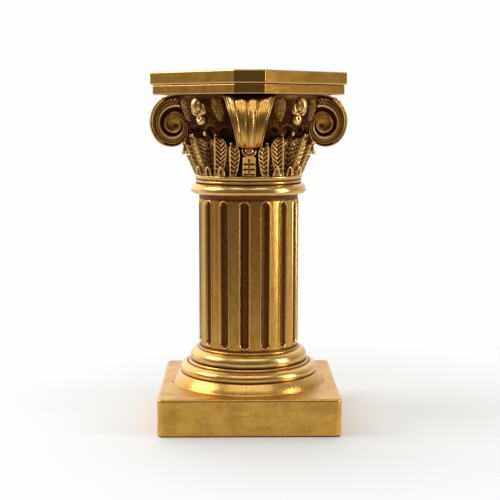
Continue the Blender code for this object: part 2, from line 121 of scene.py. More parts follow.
# Capital levels and the places of its carving
CAPITAL_BASE = CAPITAL_LOW.z
SLAB_THICKNESS = 7.95 * MM
SLAB_BASE = CAPITAL_HIGH.z - SLAB_THICKNESS
BELL_FOOT_RADIUS = 43.6 * MM
BELL_LIP_RADIUS = 61.0 * MM
BELL_FLARE = (0.0, 0.0, 0.0, 0.02, 0.07, 0.17, 0.3, 0.43, 0.58, 0.74, 0.88, 1.0)
BELL_STEPS = 240
EYE_REACH = 63.5 * MM
EYE_LEVEL = SLAB_BASE - 25.1 * MM
VOLUTE_RADIUS = 20.1 * MM
FOOT_HALF_WIDTH = 9.8 * MM
BODY_HALF_WIDTH = 14.5 * MM
BODY_FOOT_HALF_WIDTH = 7.8 * MM
RIM_HALF_WIDTH = 21.4 * MM
COIL_START = math.radians(-77.1)
COIL_END = math.radians(540)
COIL_SHARES = (1.56, 1.265, 1.0, 0.94, 0.545, 0.455, 0.37, 0.29, 0.25)

# Leaves of one eighth of the ring: how far the straight rib stands beside the stalk, the widths before and
# behind the rib in degrees, height, reach of the tip, and number of veins
EIGHTH_LEAVES = (
    (16.0 * MM, 9.2, 7.0, 27.6 * MM, 56.0 * MM, 7),
    (28.6 * MM, 12.6, 9.5, 34.4 * MM, 54.4 * MM, 9),
)
LEAF_FOOT_RADIUS = 45.4 * MM
LEAF_SHAPE = (
    (0.0, 0.12, 0.3, 0.5, 0.65, 0.78, 0.88, 0.95, 0.985, 1.0),
    (0.76, 0.82, 0.92, 0.99, 1.0, 0.94, 0.76, 0.5, 0.26, 0.08),
)
DART_PLACES = (28.5, 45.0, 61.5)
# Knobs on the leaf tips of one side: place in degrees, then reach, height over the foot and radius in mm
LEAF_KNOBS = (
    (15.2, 55.9, 27.0, 1.1), (30.4, 54.4, 33.6, 1.3), (45.0, 51.6, 35.2, 1.7),
    (59.6, 54.4, 33.6, 1.3), (74.8, 55.9, 27.0, 1.1),
)
CLUSTER_TURN = math.radians(25.6)

# Lower edge of the apron: where it starts beside a stalk and where its arches meet, in degrees, and how high
APRON_EDGE = 11.0
APRON_FOLDS = (17.0, 28.4, 45.0)
APRON_POINT = CAPITAL_BASE + 35.5 * MM

# How far the casting of each piece is off true
PLAIN, CARVED, ROUGH = 0.1 * MM, 0.18 * MM, 0.45 * MM
UNEVENNESS = {
    "plinth_body": PLAIN,
    "column_body": PLAIN,
    "capital_bell": CARVED,
    "capital_apron": ROUGH,
    "capital_slab": PLAIN,
    "capital_leaf_ring": CARVED,
    "capital_stalks": CARVED,
    "capital_volutes": CARVED,
    "capital_volute_leaves": CARVED,
    "capital_buds": CARVED,
    "capital_clusters": CARVED,
    "top_plate_body": PLAIN,
}

# Camera as fitted to the photo, in metres and radians
LENS = 82.54
SENSOR_WIDTH = 36.0
CAMERA_PLACE = (-0.00995, -0.99529, 0.26726)
CAMERA_TURN = (math.pi / 2 - 0.1207, 0.0, -0.0113)


def length(name, description, default, low=0.0, high=0.5):
    return bpy.props.FloatProperty(
        name=name, description=description, default=default, min=low, max=high, unit="LENGTH", precision=5
    )


def power(name, description, default, low=0.0, high=500.0):
    return bpy.props.FloatProperty(name=name, description=description, default=default, min=low, max=high)


def count(name, description, default, low=1, high=400):
    return bpy.props.IntProperty(name=name, description=description, default=default, min=low, max=high)


def colour(name, description, default):
    return bpy.props.FloatVectorProperty(
        name=name, description=description, default=default, size=3, min=0.0, max=1.0, subtype="COLOR"
    )


class PEDESTAL_PG_column(bpy.types.PropertyGroup):
    """Sizes of the fluted column"""

    shaft_radius: length("Shaft radius", "Radius of the shaft between its flutes", 42.8 * MM)
    flute_count: count("Flutes", "Number of flutes round the shaft", 15)
    flute_width: length("Flute width", "Width of one flute", 7.3 * MM)
    flute_depth: length("Flute depth", "Depth of a flute at its middle", 2.9 * MM)
    lip_height: length("Lip height", "Height of the rounded lip round each flute", 0.62 * MM)
    seam_height: length("Seam height", "Height of the mould seam on the base mouldings", 0.22 * MM)


class PEDESTAL_PG_capital(bpy.types.PropertyGroup):
    """Sizes of the carving on the capital"""

    vein_height: length("Vein height", "Height of the veins on a leaf", 0.75 * MM)
    rim_height: length("Rim height", "Height of the rims of a leaf", 0.95 * MM)
    petal_depth: length("Petal depth", "Depth of the grooves between the petals of a volute", 1.5 * MM)
    groove_depth: length("Spiral depth", "Depth of the spiral groove of a volute", 2.8 * MM)
    bead_radius: length("Bead radius", "Radius of the beads in a cluster", 0.95 * MM)
    bead_seed: count("Bead seed", "Seed of the places of the beads", 7)


class PEDESTAL_PG_finish(bpy.types.PropertyGroup):
    """Colours of the antique gold finish, with its painted shade and painted highlight"""

    gold: colour("Gold", "Main colour of the paint", (0.66, 0.365, 0.078))
    deep_gold: colour("Deep gold", "Darker patches of the paint", (0.52, 0.25, 0.038))
    # Rubbed gold brightens the edges, partly as wear and partly as a painted highlight
    rubbed_and_highlit: colour("Rubbed gold", "Paint rubbed bright on edges", (0.92, 0.62, 0.24))
    # The wash and its reach darken the hollows, partly as the antique wash and partly as painted shade
    wash: colour("Wash", "Dark brown wash in the hollows", (0.115, 0.027, 0.003))
    wash_and_shade_reach: length("Wash reach", "How far off a surface darkens a hollow", 9.0 * MM)
    ray_count: count("Rays", "Rays cast from each point to find the hollows", 24)


class PEDESTAL_PG_stage(bpy.types.PropertyGroup):
    """Floor and light"""

    floor: colour("Floor", "Colour of the floor", (0.92, 0.935, 0.945))
    left_power: power("Left light", "Power of the large soft light on the left", 9.4)
    right_power: power("Right light", "Power of the narrow light on the right", 9.0)
    top_power: power("Top light", "Power of the soft light overhead", 3.8)


class Wire:
    """An output socket, with arithmetic that adds Math nodes to its tree."""

    def __init__(self, tree, socket):
        self.tree = tree
        self.socket = socket

    def math(self, operation, *others):
        return self.tree.node("ShaderNodeMath", {"operation": operation}, dict(enumerate((self, *others))))

    def __add__(self, other):
        return self.math("ADD", other)

    def __sub__(self, other):
        return self.math("SUBTRACT", other)

    def __mul__(self, other):
        return self.math("MULTIPLY", other)

    def __truediv__(self, other):
        return self.math("DIVIDE", other)

    def __pow__(self, other):
        return self.math("POWER", other)

    def __radd__(self, other):
        return self + other

    def __rmul__(self, other):
        return self * other

    def __rsub__(self, other):
        return self * -1.0 + other

    def __rtruediv__(self, other):
        return self**-1.0 * other

    def clamped(self):
        """The value kept between 0 and 1."""
        held = self + 0.0
        held.socket.node.use_clamp = True
        return held


class Tree:
    """A node tree of either kind, built one node at a time."""

    def __init__(self, node_tree):
        self.node_tree = node_tree

    def node(self, kind, settings=None, inputs=None, output=0):
        """Adds a node: its settings first, then the value or link of each socket, by name or number."""
        made = self.node_tree.nodes.new(kind)
        for name, value in (settings or {}).items():
            setattr(made, name, value)
        for key, value in (inputs or {}).items():
            self.feed(made.inputs[key], value)
        if not made.outputs:
            return made
        return Wire(self, made.outputs[output])

    def feed(self, socket, value):
        if isinstance(value, Wire):
            self.node_tree.links.new(value.socket, socket)
        elif isinstance(value, (list, tuple)) and value and isinstance(value[0], Wire):
            for wire in value[::-1]:
                self.node_tree.links.new(wire.socket, socket)
        else:
            socket.default_value = value

    def other(self, wire, output):
        """Another output of the node that a wire comes from."""
        return Wire(self, wire.socket.node.outputs[output])

    def smooth_step(self, value, low, high):
        """Rises softly from 0 at low to 1 at high, or falls where low is the larger."""
        inputs = {"Value": value, "From Min": low, "From Max": high}
        return self.node("ShaderNodeMapRange", {"interpolation_type": "SMOOTHSTEP"}, inputs)

    def mix_colour(self, factor, first, second):
        return self.node("ShaderNodeMix", {"data_type": "RGBA"}, {0: factor, 6: first, 7: second}, output=2)

    def noise(self, place, scale, detail=2.0, roughness=0.5):
        inputs = {"Vector": place, "Scale": scale, "Detail": detail, "Roughness": roughness}
        return self.node("ShaderNodeTexNoise", None, inputs)

    def vector(self, operation, *values, output=0):
        """A Vector Math node, whose output 1 holds a length or a dot product."""
        return self.node("ShaderNodeVectorMath", {"operation": operation}, dict(enumerate(values)), output)

    def store(self, geometry, name, value):
        """Keeps a value on each point, under a name that the materials read."""
        inputs = {"Geometry": geometry, "Name": name, "Value": value}
        return self.node("GeometryNodeStoreNamedAttribute", {"data_type": "FLOAT", "domain": "POINT"}, inputs)


def blank_tree(owner):
    """The node tree of a material or world, emptied."""
    owner.use_nodes = True
    owner.node_tree.nodes.clear()
    return Tree(owner.node_tree)


def geometry_tree(name, inputs):
    """A Geometry Nodes tree with a geometry input and named inputs, and the wires of its inputs."""
    node_tree = bpy.data.node_groups.new(name, "GeometryNodeTree")
    node_tree.interface.new_socket("Geometry", in_out="INPUT", socket_type="NodeSocketGeometry")
    for title, kind in inputs.items():
        node_tree.interface.new_socket(title, in_out="INPUT", socket_type="NodeSocket" + kind)
    node_tree.interface.new_socket("Geometry", in_out="OUTPUT", socket_type="NodeSocketGeometry")
    tree = Tree(node_tree)
    entry = node_tree.nodes.new("NodeGroupInput")
    wires = {title: Wire(tree, entry.outputs[title]) for title in ("Geometry", *inputs)}
    return tree, wires


def finish_tree(tree, geometry, material=None):
    """Ends a Geometry Nodes tree: instances made real, and the material set."""
    real = tree.node("GeometryNodeRealizeInstances", None, {"Geometry": geometry})
    if material is not None:
        real = tree.node("GeometryNodeSetMaterial", None, {"Geometry": real, "Material": material})
    tree.node("NodeGroupOutput", None, {0: real})


def apply_tree(item, tree, values):
    """Runs a Geometry Nodes tree on an object and keeps the result as its plain mesh."""
    modifier = item.modifiers.new("shape", "NODES")
    modifier.node_group = tree.node_tree
    for socket in tree.node_tree.interface.items_tree:
        if socket.in_out == "INPUT" and socket.name in values:
            modifier[socket.identifier] = values[socket.name]
    depsgraph = bpy.context.evaluated_depsgraph_get()
    result = bpy.data.meshes.new_from_object(item.evaluated_get(depsgraph))
    item.modifiers.remove(modifier)
    old = item.data
    result.name = item.name
    item.data = result
    bpy.data.meshes.remove(old)
    return item


def place_in_scene(name, data):
    item = bpy.data.objects.new(name, data)
    bpy.context.scene.collection.objects.link(item)
    return item


def face_outwards(mesh):
    """Turns the faces of closed forms outwards and smooths their shading."""
    bm = bmesh.new()
    bm.from_mesh(mesh)
    bmesh.ops.recalc_face_normals(bm, faces=bm.faces)
    bm.to_mesh(mesh)
    bm.free()
    mesh.shade_smooth()


class Stock:
    """Closed forms gathered for one piece."""

    def __init__(self):
        self.points = []
        self.faces = []

    def add(self, points, faces):
        start = len(self.points)
        self.points.extend(tuple(point) for point in points)
        self.faces.extend(tuple(start + index for index in face) for face in faces)

    def add_mesh(self, mesh, turn=0.0):
        """The faces of a mesh, turned round the axis."""
        places = np.zeros(len(mesh.vertices) * 3)
        mesh.vertices.foreach_get("co", places)
        x, y, z = places.reshape(-1, 3).T
        cos, sin = math.cos(turn), math.sin(turn)
        points = np.stack([x * cos - y * sin, x * sin + y * cos, z], axis=-1)
        self.add(points, [tuple(face.vertices) for face in mesh.polygons])

    def add_plate(self, front, back):
        """Closed form of a grid of points, and behind it the border of a second grid drawn to one point."""
        rows, columns = front.shape[:2]
        faces = []
        for row in range(rows - 1):
            for column in range(columns - 1):
                a = row * columns + column
                faces.append((a, a + 1, a + columns + 1, a + columns))
        border = [(0, column) for column in range(columns)]
        border += [(row, columns - 1) for row in range(1, rows)]
        border += [(rows - 1, column) for column in range(columns - 2, -1, -1)]
        border += [(row, 0) for row in range(rows - 2, 0, -1)]
        behind = np.array([back[row, column] for row, column in border])
        start, total = rows * columns, len(border)
        for index, (row, column) in enumerate(border):
            after = (index + 1) % total
            first = row * columns + column
            second = border[after][0] * columns + border[after][1]
            faces.append((second, first, start + index, start + after))
            faces.append((start + after, start + index, start + total))
        self.add(np.concatenate([front.reshape(-1, 3), behind, [behind.mean(axis=0)]]), faces)

    def add_tube(self, rings):
        """Closed form through rings of points, with a point at each end."""
        sides = len(rings[0])
        points = [point for ring in rings for point in ring]
        faces = []
        for row in range(len(rings) - 1):
            for side in range(sides):
                a = row * sides + side
                b = row * sides + (side + 1) % sides
                faces.append((a, b, b + sides, a + sides))
        for ring, flip in ((rings[0], True), (rings[-1], False)):
            start = 0 if flip else (len(rings) - 1) * sides
            centre = len(points)
            points.append(sum((Vector(point) for point in ring), Vector()) / sides)
            for side in range(sides):
                a = start + side
                b = start + (side + 1) % sides
                faces.append((b, a, centre) if flip else (a, b, centre))
        self.add(points, faces)

    def to_object(self, name):
        mesh = bpy.data.meshes.new(name)
        mesh.from_pydata(self.points, [], self.faces)
        face_outwards(mesh)
        return place_in_scene(name, mesh)


def ramp(value, low, high):
    """Smooth step from 0 at low to 1 at high, for numbers and arrays."""
    place = np.clip((value - low) / (high - low), 0.0, 1.0)
    return place * place * (3 - 2 * place)


def bump_at(value, centre, width):
    """Smooth bump of height 1 at a centre."""
    return np.exp(-(((value - centre) / width) ** 2))


def around(angle, radius, level):
    """Points at angles from the front, for numbers and arrays."""
    angle, radius, level = np.broadcast_arrays(angle, radius, level)
    return np.stack([radius * np.sin(angle), -radius * np.cos(angle), level], axis=-1)


def spline(values, place):
    """Smooth curve through evenly spaced values, level past its ends."""
    last = len(values) - 1
    place = max(0.0, min(last, place))
    index = min(last - 1, math.floor(place))
    step = place - index
    start, end = values[index], values[index + 1]
    slope_in = (end - values[max(0, index - 1)]) / 2
    slope_out = (values[min(last, index + 2)] - start) / 2
    rise = end - start
    curve = (3 * rise - 2 * slope_in - slope_out) * step**2 + (slope_in + slope_out - 2 * rise) * step**3
    return start + slope_in * step + curve


def circle(corners):
    """Cosine and sine of evenly spaced turns."""
    turns = [TAU * corner / corners for corner in range(corners)]
    return [(math.cos(turn), math.sin(turn)) for turn in turns]


def dress(item, node, material):
    """Gives a finished piece its material and body, and hides the CAD node that it stands for."""
    item.data.materials.clear()
    item.data.materials.append(material)
    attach(item, "root")
    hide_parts(node)


def gold_material(
    name, wash=1.0, rough=0.3, streak=0.0, shade=1.0, crease=0.5, rub=0.85, base=0.0, dark=1.0, block=False
):
    """Antique gold paint: patchy gold, a dark wash in the hollows that is partly painted shade, edges wiped
    bright that are partly painted highlight, and a fine grain.

    It reads values stored on the mesh: how hollow each place is and how far it lies inside a flute, both from
    0 to 1, and edge, which is 0.5 on a flat form, less in a crease and more on a ridge. The wash amount,
    crease and base say how far the wash and painted shade show in the hollows, in the creases and all over,
    dark how light it is left, and the rub amount how far the edges are wiped bright as wear and painted
    highlight. Streak draws the patches out, shade scales the gold of a piece lighter or darker as painted
    light and shade, and block adds the marks of the plinth, among them a painted contact shadow.
    """
    material = bpy.data.materials.get(name)
    if material is not None:
        return material
    colours = bpy.context.scene.pedestal_finish
    material = bpy.data.materials.new(name)
    tree = blank_tree(material)
    place = tree.node("ShaderNodeTexCoord", output="Object")
    hollow = tree.node("ShaderNodeAttribute", {"attribute_name": "hollow"}, output="Fac")
    edge = tree.node("ShaderNodeAttribute", {"attribute_name": "edge"}, output="Fac")
    stain = tree.node("ShaderNodeAttribute", {"attribute_name": "stain"}, output="Fac")

    brushed = (0.12, 1.0, 1.0) if block else (1.0, 1.0, 0.35)
    drawn = tree.node("ShaderNodeMapping", {"vector_type": "POINT"}, {"Vector": place, "Scale": brushed})
    patches = tree.noise(place, 55.0, 4.0, 0.6)
    streaks = tree.noise(drawn, 260.0, 3.0, 0.6)
    grain = tree.noise(place, 1500.0, 2.0, 0.7)
    fine_grain = tree.noise(place, 3200.0, 1.0, 0.5)
    speckle = tree.noise(place, 650.0, 2.0, 0.7)

    # Dark wash where a place is hollow, inside the flutes, in creases and, with base, all over: partly the
    # antique wash, partly painted shade
    wash_and_shade_seat = hollow + (patches - 0.5) * 0.35 + (grain - 0.5) * 0.5
    washed_and_shaded = tree.smooth_step(wash_and_shade_seat, 0.3 / wash, 0.75 / wash)
    flute_wash_and_shade_marked = tree.smooth_step(stain + (grain - 0.5) * 1.2 + (speckle - 0.5) * 2.6, 0.35, 1.0) * 0.9
    crease_shade = tree.smooth_step(edge + (grain - 0.5) * 0.3, 0.47, 0.2) * crease
    everywhere = tree.smooth_step(patches + (speckle - 0.5) * 0.8, 0.1, 0.55) * base
    washed_and_shaded = washed_and_shaded.math("MAXIMUM", flute_wash_and_shade_marked).math("MAXIMUM", crease_shade).math("MAXIMUM", everywhere)
    if block:
        washed_and_shaded = washed_and_shaded.math("MAXIMUM", block_marks(tree, place, patches))
    # Edges wiped bright: partly rubbed wear, partly a painted highlight on the ridges
    rub_and_highlight_seat = edge + (patches - 0.5) * 0.2 + (grain - 0.5) * 0.25
    rubbed_and_highlit = tree.smooth_step(rub_and_highlight_seat, 0.6, 0.95)
    washed_and_shaded = washed_and_shaded * (1.0 - rubbed_and_highlit * 0.88 * rub)

    # Shade scales a piece's gold lighter or darker: painted light and shade for that piece
    shades = [shade, shade**1.35, shade**1.9]
    gold = [channel * part for channel, part in zip(colours.gold, shades)]
    deep = [channel * part for channel, part in zip(colours.deep_gold, shades)]
    wash_and_shade_colour = [channel * dark for channel in colours.wash]
    mottle = (grain - 0.5) * 0.7 + (speckle - 0.5) * 0.5
    tone = tree.smooth_step(patches * (1.0 - streak) + streaks * streak + mottle, 0.35, 0.75)
    paint = tree.mix_colour(tone, (*gold, 1.0), (*deep, 1.0))
    paint = tree.mix_colour(rubbed_and_highlit * rub, paint, (*colours.rubbed_and_highlit, 1.0))
    paint = tree.mix_colour(washed_and_shaded, paint, (*wash_and_shade_colour, 1.0))

    roughness = rough + (grain - 0.5) * 0.3 + washed_and_shaded * 0.2 - rubbed_and_highlit * 0.06
    metallic = 0.96 - washed_and_shaded * 0.2
    height = grain * 0.6 + fine_grain * 0.3 + patches * 0.6
    normal = tree.node("ShaderNodeBump", None, {"Strength": 0.2, "Distance": 0.0004, "Height": height})
    inputs = {"Base Color": paint, "Roughness": roughness, "Metallic": metallic, "Normal": normal}
    shader = tree.node("ShaderNodeBsdfPrincipled", None, {**inputs, "Specular IOR Level": 0.2})
    tree.node("ShaderNodeOutputMaterial", None, {"Surface": shader})
    return material


def block_marks(tree, place, wobble):
    """Faint curved scratch on the plinth's front, a painted contact shadow along its foot where it meets the
    floor, and cloudy paint.
    """
    across = tree.node("ShaderNodeSeparateXYZ", None, {0: place})
    behind, level = tree.other(across, "Y"), tree.other(across, "Z")
    from_middle = across + 6.6 * MM
    bow = from_middle * from_middle * 22.0 + 17.4 * MM + (wobble - 0.5) * 2.0 * MM
    line = tree.smooth_step((level - bow).math("ABSOLUTE"), 0.34 * MM, 0.1 * MM)
    window = tree.smooth_step((across + 6.3 * MM).math("ABSOLUTE"), 13.2 * MM, 9.0 * MM)
    scratch = line * window * tree.smooth_step(behind, -70 * MM, -72 * MM) * 0.6
    # Painted contact shadow: darker along the foot where the plinth meets the floor
    contact_shadow = tree.smooth_step(level, 1.9 * MM, 0.7 * MM) * 0.8
    cloudy = tree.smooth_step(wobble, 0.42, 0.62) * 0.14
    return scratch.math("MAXIMUM", contact_shadow).math("MAXIMUM", cloudy)


def node_material(node):
    """The finish of each CAD node's pieces; shade lightens the plinth's gold and darkens the top's as painted
    light and shade.
    """
    if node == "plinth":
        values = {"wash": 0.9, "rough": 0.34, "streak": 0.55, "shade": 1.08, "rub": 0.1}
        return gold_material("plinth_gold", block=True, **values)
    if node == "column":
        return gold_material("column_gold", wash=1.12, rough=0.27, streak=0.5, crease=0.9, rub=0.5)
    if node == "capital":
        return gold_material("capital_gold", wash=2.0, rough=0.28, streak=0.2, crease=1.0)
    return gold_material("top_gold", wash=0.8, rough=0.24, shade=0.86, rub=0.6)


def ground_wash_and_shade_material():
    """The apron and the ground behind the buds, heavily washed and darkened further with painted shade."""
    values = {"wash": 2.4, "rough": 0.5, "shade": 0.4, "crease": 1.0, "rub": 0.3, "base": 1.0, "dark": 0.5}
    return gold_material("capital_ground", **values)


def bell_shadow_material():
    """The bell between the leaves and under the apron, painted dark as the shadow in those voids."""
    values = {"wash": 2.4, "rough": 0.5, "shade": 0.35, "crease": 1.0, "rub": 0.2, "base": 1.0, "dark": 0.4}
    return gold_material("capital_hollow", **values)


def coil_material():
    """The volutes and buds, washed dark partly as painted shade, with their bands and rims wiped bright
    partly as painted highlight.
    """
    return gold_material("capital_coils", wash=2.1, rough=0.36, shade=0.86, crease=1.0, rub=0.9, base=0.22)


def petal_material():
    """The leaves over the volutes, with less of the wash and painted crease shade than the rest of the
    capital.
    """
    return gold_material("capital_petals", wash=1.2, rough=0.22, streak=0.7, crease=0.35)


def bead_material():
    """The clusters, dark between their beads with wash and painted shade."""
    return gold_material("capital_beads", wash=2.6, rough=0.36, shade=0.62, crease=1.0, rub=0.35, base=0.35)


def polygon_outline(corners, radius, corner_points, side_points):
    """Points round a convex polygon with rounded corners, anticlockwise."""
    total = len(corners)
    arcs = []
    for index in range(total):
        here = np.array(corners[index])
        before = np.array(corners[index - 1]) - here
        after = np.array(corners[(index + 1) % total]) - here
        before /= np.linalg.norm(before)
        after /= np.linalg.norm(after)
        half = math.acos(np.clip(before @ after, -1.0, 1.0)) / 2
        centre = here + (before + after) / np.linalg.norm(before + after) * radius / math.sin(half)
        start = here + before * radius / math.tan(half) - centre
        sweep = math.pi - 2 * half
        arc = []
        for step in range(corner_points):
            turn = sweep * step / (corner_points - 1)
            cos, sin = math.cos(turn), math.sin(turn)
            arc.append(centre + (start[0] * cos - start[1] * sin, start[0] * sin + start[1] * cos))
        arcs.append(arc)
    outline = []
    for index in range(total):
        start, end = arcs[index][-1], arcs[(index + 1) % total][0]
        outline += arcs[index]
        for step in range(1, side_points):
            part = 0.5 - 0.5 * math.cos(math.pi * step / side_points)
            outline.append(start + (end - start) * part)
    return np.array(outline)


def inset_corners(corners, inset):
    """Corners of a convex polygon moved inwards by a distance."""
    moved = []
    total = len(corners)
    for index in range(total):
        here = np.array(corners[index])
        before = here - np.array(corners[index - 1])
        after = np.array(corners[(index + 1) % total]) - here
        inner_before = np.array((-before[1], before[0])) / np.linalg.norm(before)
        inner_after = np.array((-after[1], after[0])) / np.linalg.norm(after)
        middle = inner_before + inner_after
        moved.append(here + middle * inset / (middle @ inner_before))
    return moved


def slab_object(name, corners, corner_radius, low, high, edge, side_points=40, rows=6, inner_step=0.25):
    """Flat block with rounded edges, as rings from the middle of its underside to the middle of its top.

    The inner step is the share of its half width between one ring on its flat faces and the next.
    """
    corner_points, arc_points = 6, 5
    rings = []
    for step in range(arc_points + 1):
        turn = math.pi / 2 * step / arc_points
        rings.append((edge * (1 - math.sin(turn)), low + edge * (1 - math.cos(turn))))
    for step in range(1, rows):
        part = 0.5 - 0.5 * math.cos(math.pi * step / rows)
        rings.append((0.0, low + edge + (high - low - 2 * edge) * part))
    rings += [(inset, low + high - level) for inset, level in rings[arc_points::-1]]
    flat = [(0.6 * MM, 1.0), (1.6 * MM, 1.0), (4 * MM, 1.0), (9 * MM, 1.0)]
    scales = tuple(np.arange(1.0 - inner_step, inner_step / 2, -inner_step))

    def outline(inset, scale=1.0):
        radius = max(corner_radius - inset, 0.2 * MM)
        return polygon_outline(inset_corners(corners, inset), radius, corner_points, side_points) * scale

    layers = [(outline(edge + inset), low) for inset, _ in flat][::-1]
    layers = [(outline(edge + flat[-1][0], scale), low) for scale in scales[::-1]] + layers
    layers += [(outline(inset), level) for inset, level in rings]
    layers += [(outline(edge + inset), high) for inset, _ in flat]
    layers += [(outline(edge + flat[-1][0], scale), high) for scale in scales]
    stock = Stock()
    stock.add_tube([[(x, y, level) for x, y in points] for points, level in layers])
    return stock.to_object(name)


def cut_square(half_side, corner_reach):
    """Corners of a square with cut corners, turned so that the cuts face along X and Y."""
    corners = []
    offset = math.sqrt(2) * half_side - corner_reach
    for index in range(CORNERS):
        turn = index * QUARTER
        for side in (-1, 1):
            x, y = corner_reach, side * offset
            corners.append((x * math.cos(turn) - y * math.sin(turn), x * math.sin(turn) + y * math.cos(turn)))
    return corners


def turned_tree():
    """Turns an outline round the axis, carves its flutes and raises a mould seam."""
    counts = ("Columns", "Rows", "Flutes")
    sizes = ("Flute Width", "Flute Depth", "Lip Height", "Radius", "Low", "High", "Turn")
    seam = ("Seam Height", "Seam Angle")
    kinds = {**dict.fromkeys(counts, "Int"), **dict.fromkeys(sizes + seam, "Float"), "Material": "Material"}
    tree, given = geometry_tree("Turned Piece", kinds)
    inputs = {"Size X": 1.0, "Size Y": 1.0, "Vertices X": given["Columns"] + 1.0, "Vertices Y": given["Rows"]}
    grid = tree.node("GeometryNodeMeshGrid", None, inputs)
    index = tree.node("GeometryNodeInputIndex")
    column = (index / given["Rows"]).math("FLOOR")
    row = index - column * given["Rows"]
    inputs = {0: given["Geometry"], 1: tree.node("GeometryNodeInputPosition"), 2: row}
    outline = tree.node("GeometryNodeSampleIndex", {"data_type": "FLOAT_VECTOR"}, inputs)
    parts = tree.node("ShaderNodeSeparateXYZ", None, {0: outline})
    radius, level = parts, tree.other(parts, "Z")
    angle = column / given["Columns"] * TAU

    pitch = TAU / given["Flutes"]
    off_middle = (angle - given["Turn"]).math("WRAP", pitch * 0.5, pitch * -0.5)
    along = (off_middle * given["Radius"]).math("ABSOLUTE")
    half_run = (given["High"] - given["Low"] - given["Flute Width"]) * 0.5
    beyond = ((level - (given["High"] + given["Low"]) * 0.5).math("ABSOLUTE") - half_run).math("MAXIMUM", 0.0)
    outside = (along * along + beyond * beyond) ** 0.5 - given["Flute Width"] * 0.5
    depth = (outside * -2.0 / given["Flute Width"]).clamped()
    hollow = (1.0 - (1.0 - depth) ** 2.0) ** 0.5 * given["Flute Depth"]
    lip = tree.smooth_step(outside, -0.5 * MM, 0.35 * MM) * tree.smooth_step(outside, 1.7 * MM, 0.5 * MM)
    above_base = level.math("GREATER_THAN", given["Low"] - 2 * MM)
    below_neck = level.math("LESS_THAN", given["High"] + 2 * MM)
    carved = (lip * given["Lip Height"] - hollow) * above_base * below_neck
    # Inside the flutes, marked for the dark wash there, which is partly painted shade
    stain = tree.smooth_step(outside, 0.0, -0.9 * MM) * above_base * below_neck

    off_seam = (angle - given["Seam Angle"]).math("WRAP", math.pi / 2, -math.pi / 2) * radius
    seam = tree.smooth_step(off_seam.math("ABSOLUTE"), 0.7 * MM, 0.15 * MM) * given["Seam Height"]
    near_edge = tree.smooth_step(radius, 10 * MM, 40 * MM)
    reach = radius + carved + seam * near_edge * (1.0 - above_base)
    inputs = {"X": reach * angle.math("SINE"), "Y": reach * angle.math("COSINE") * -1.0, "Z": level}
    place = tree.node("ShaderNodeCombineXYZ", None, inputs)
    flute_wash_and_shade_marked = tree.store(grid, "stain", stain)
    shaped = tree.node("GeometryNodeSetPosition", None, {"Geometry": flute_wash_and_shade_marked, "Position": place})
    closed = tree.node("GeometryNodeMergeByDistance", None, {"Geometry": shaped, "Distance": 0.002 * MM})
    finish_tree(tree, closed, given["Material"])
    return tree


def turned_object(name, outline, material, columns, values):
    """Object turned from an outline of radius and level, from the axis below up to the axis above."""
    mesh = bpy.data.meshes.new(name)
    mesh.from_pydata([(radius, 0.0, level) for radius, level in outline], [], [])
    item = place_in_scene(name, mesh)
    sizes = {"Columns": columns, "Rows": len(outline), "Material": material, **values}
    apply_tree(item, turned_tree(), sizes)
    face_outwards(item.data)
    return item


def ring_profile(low, high, inner_low, outer, inner_high, steps=12):
    """Rounded moulding with its crest below the middle."""
    crest = low + (high - low) * RING_CREST
    points = []
    for step in range(steps + 1):
        angle = math.pi * (step / steps - 0.5)
        inner, end = (inner_low, low) if angle < 0 else (inner_high, high)
        reach = inner + (outer - inner) * math.cos(angle)
        points.append((reach, crest + (end - crest) * abs(math.sin(angle))))
    return points


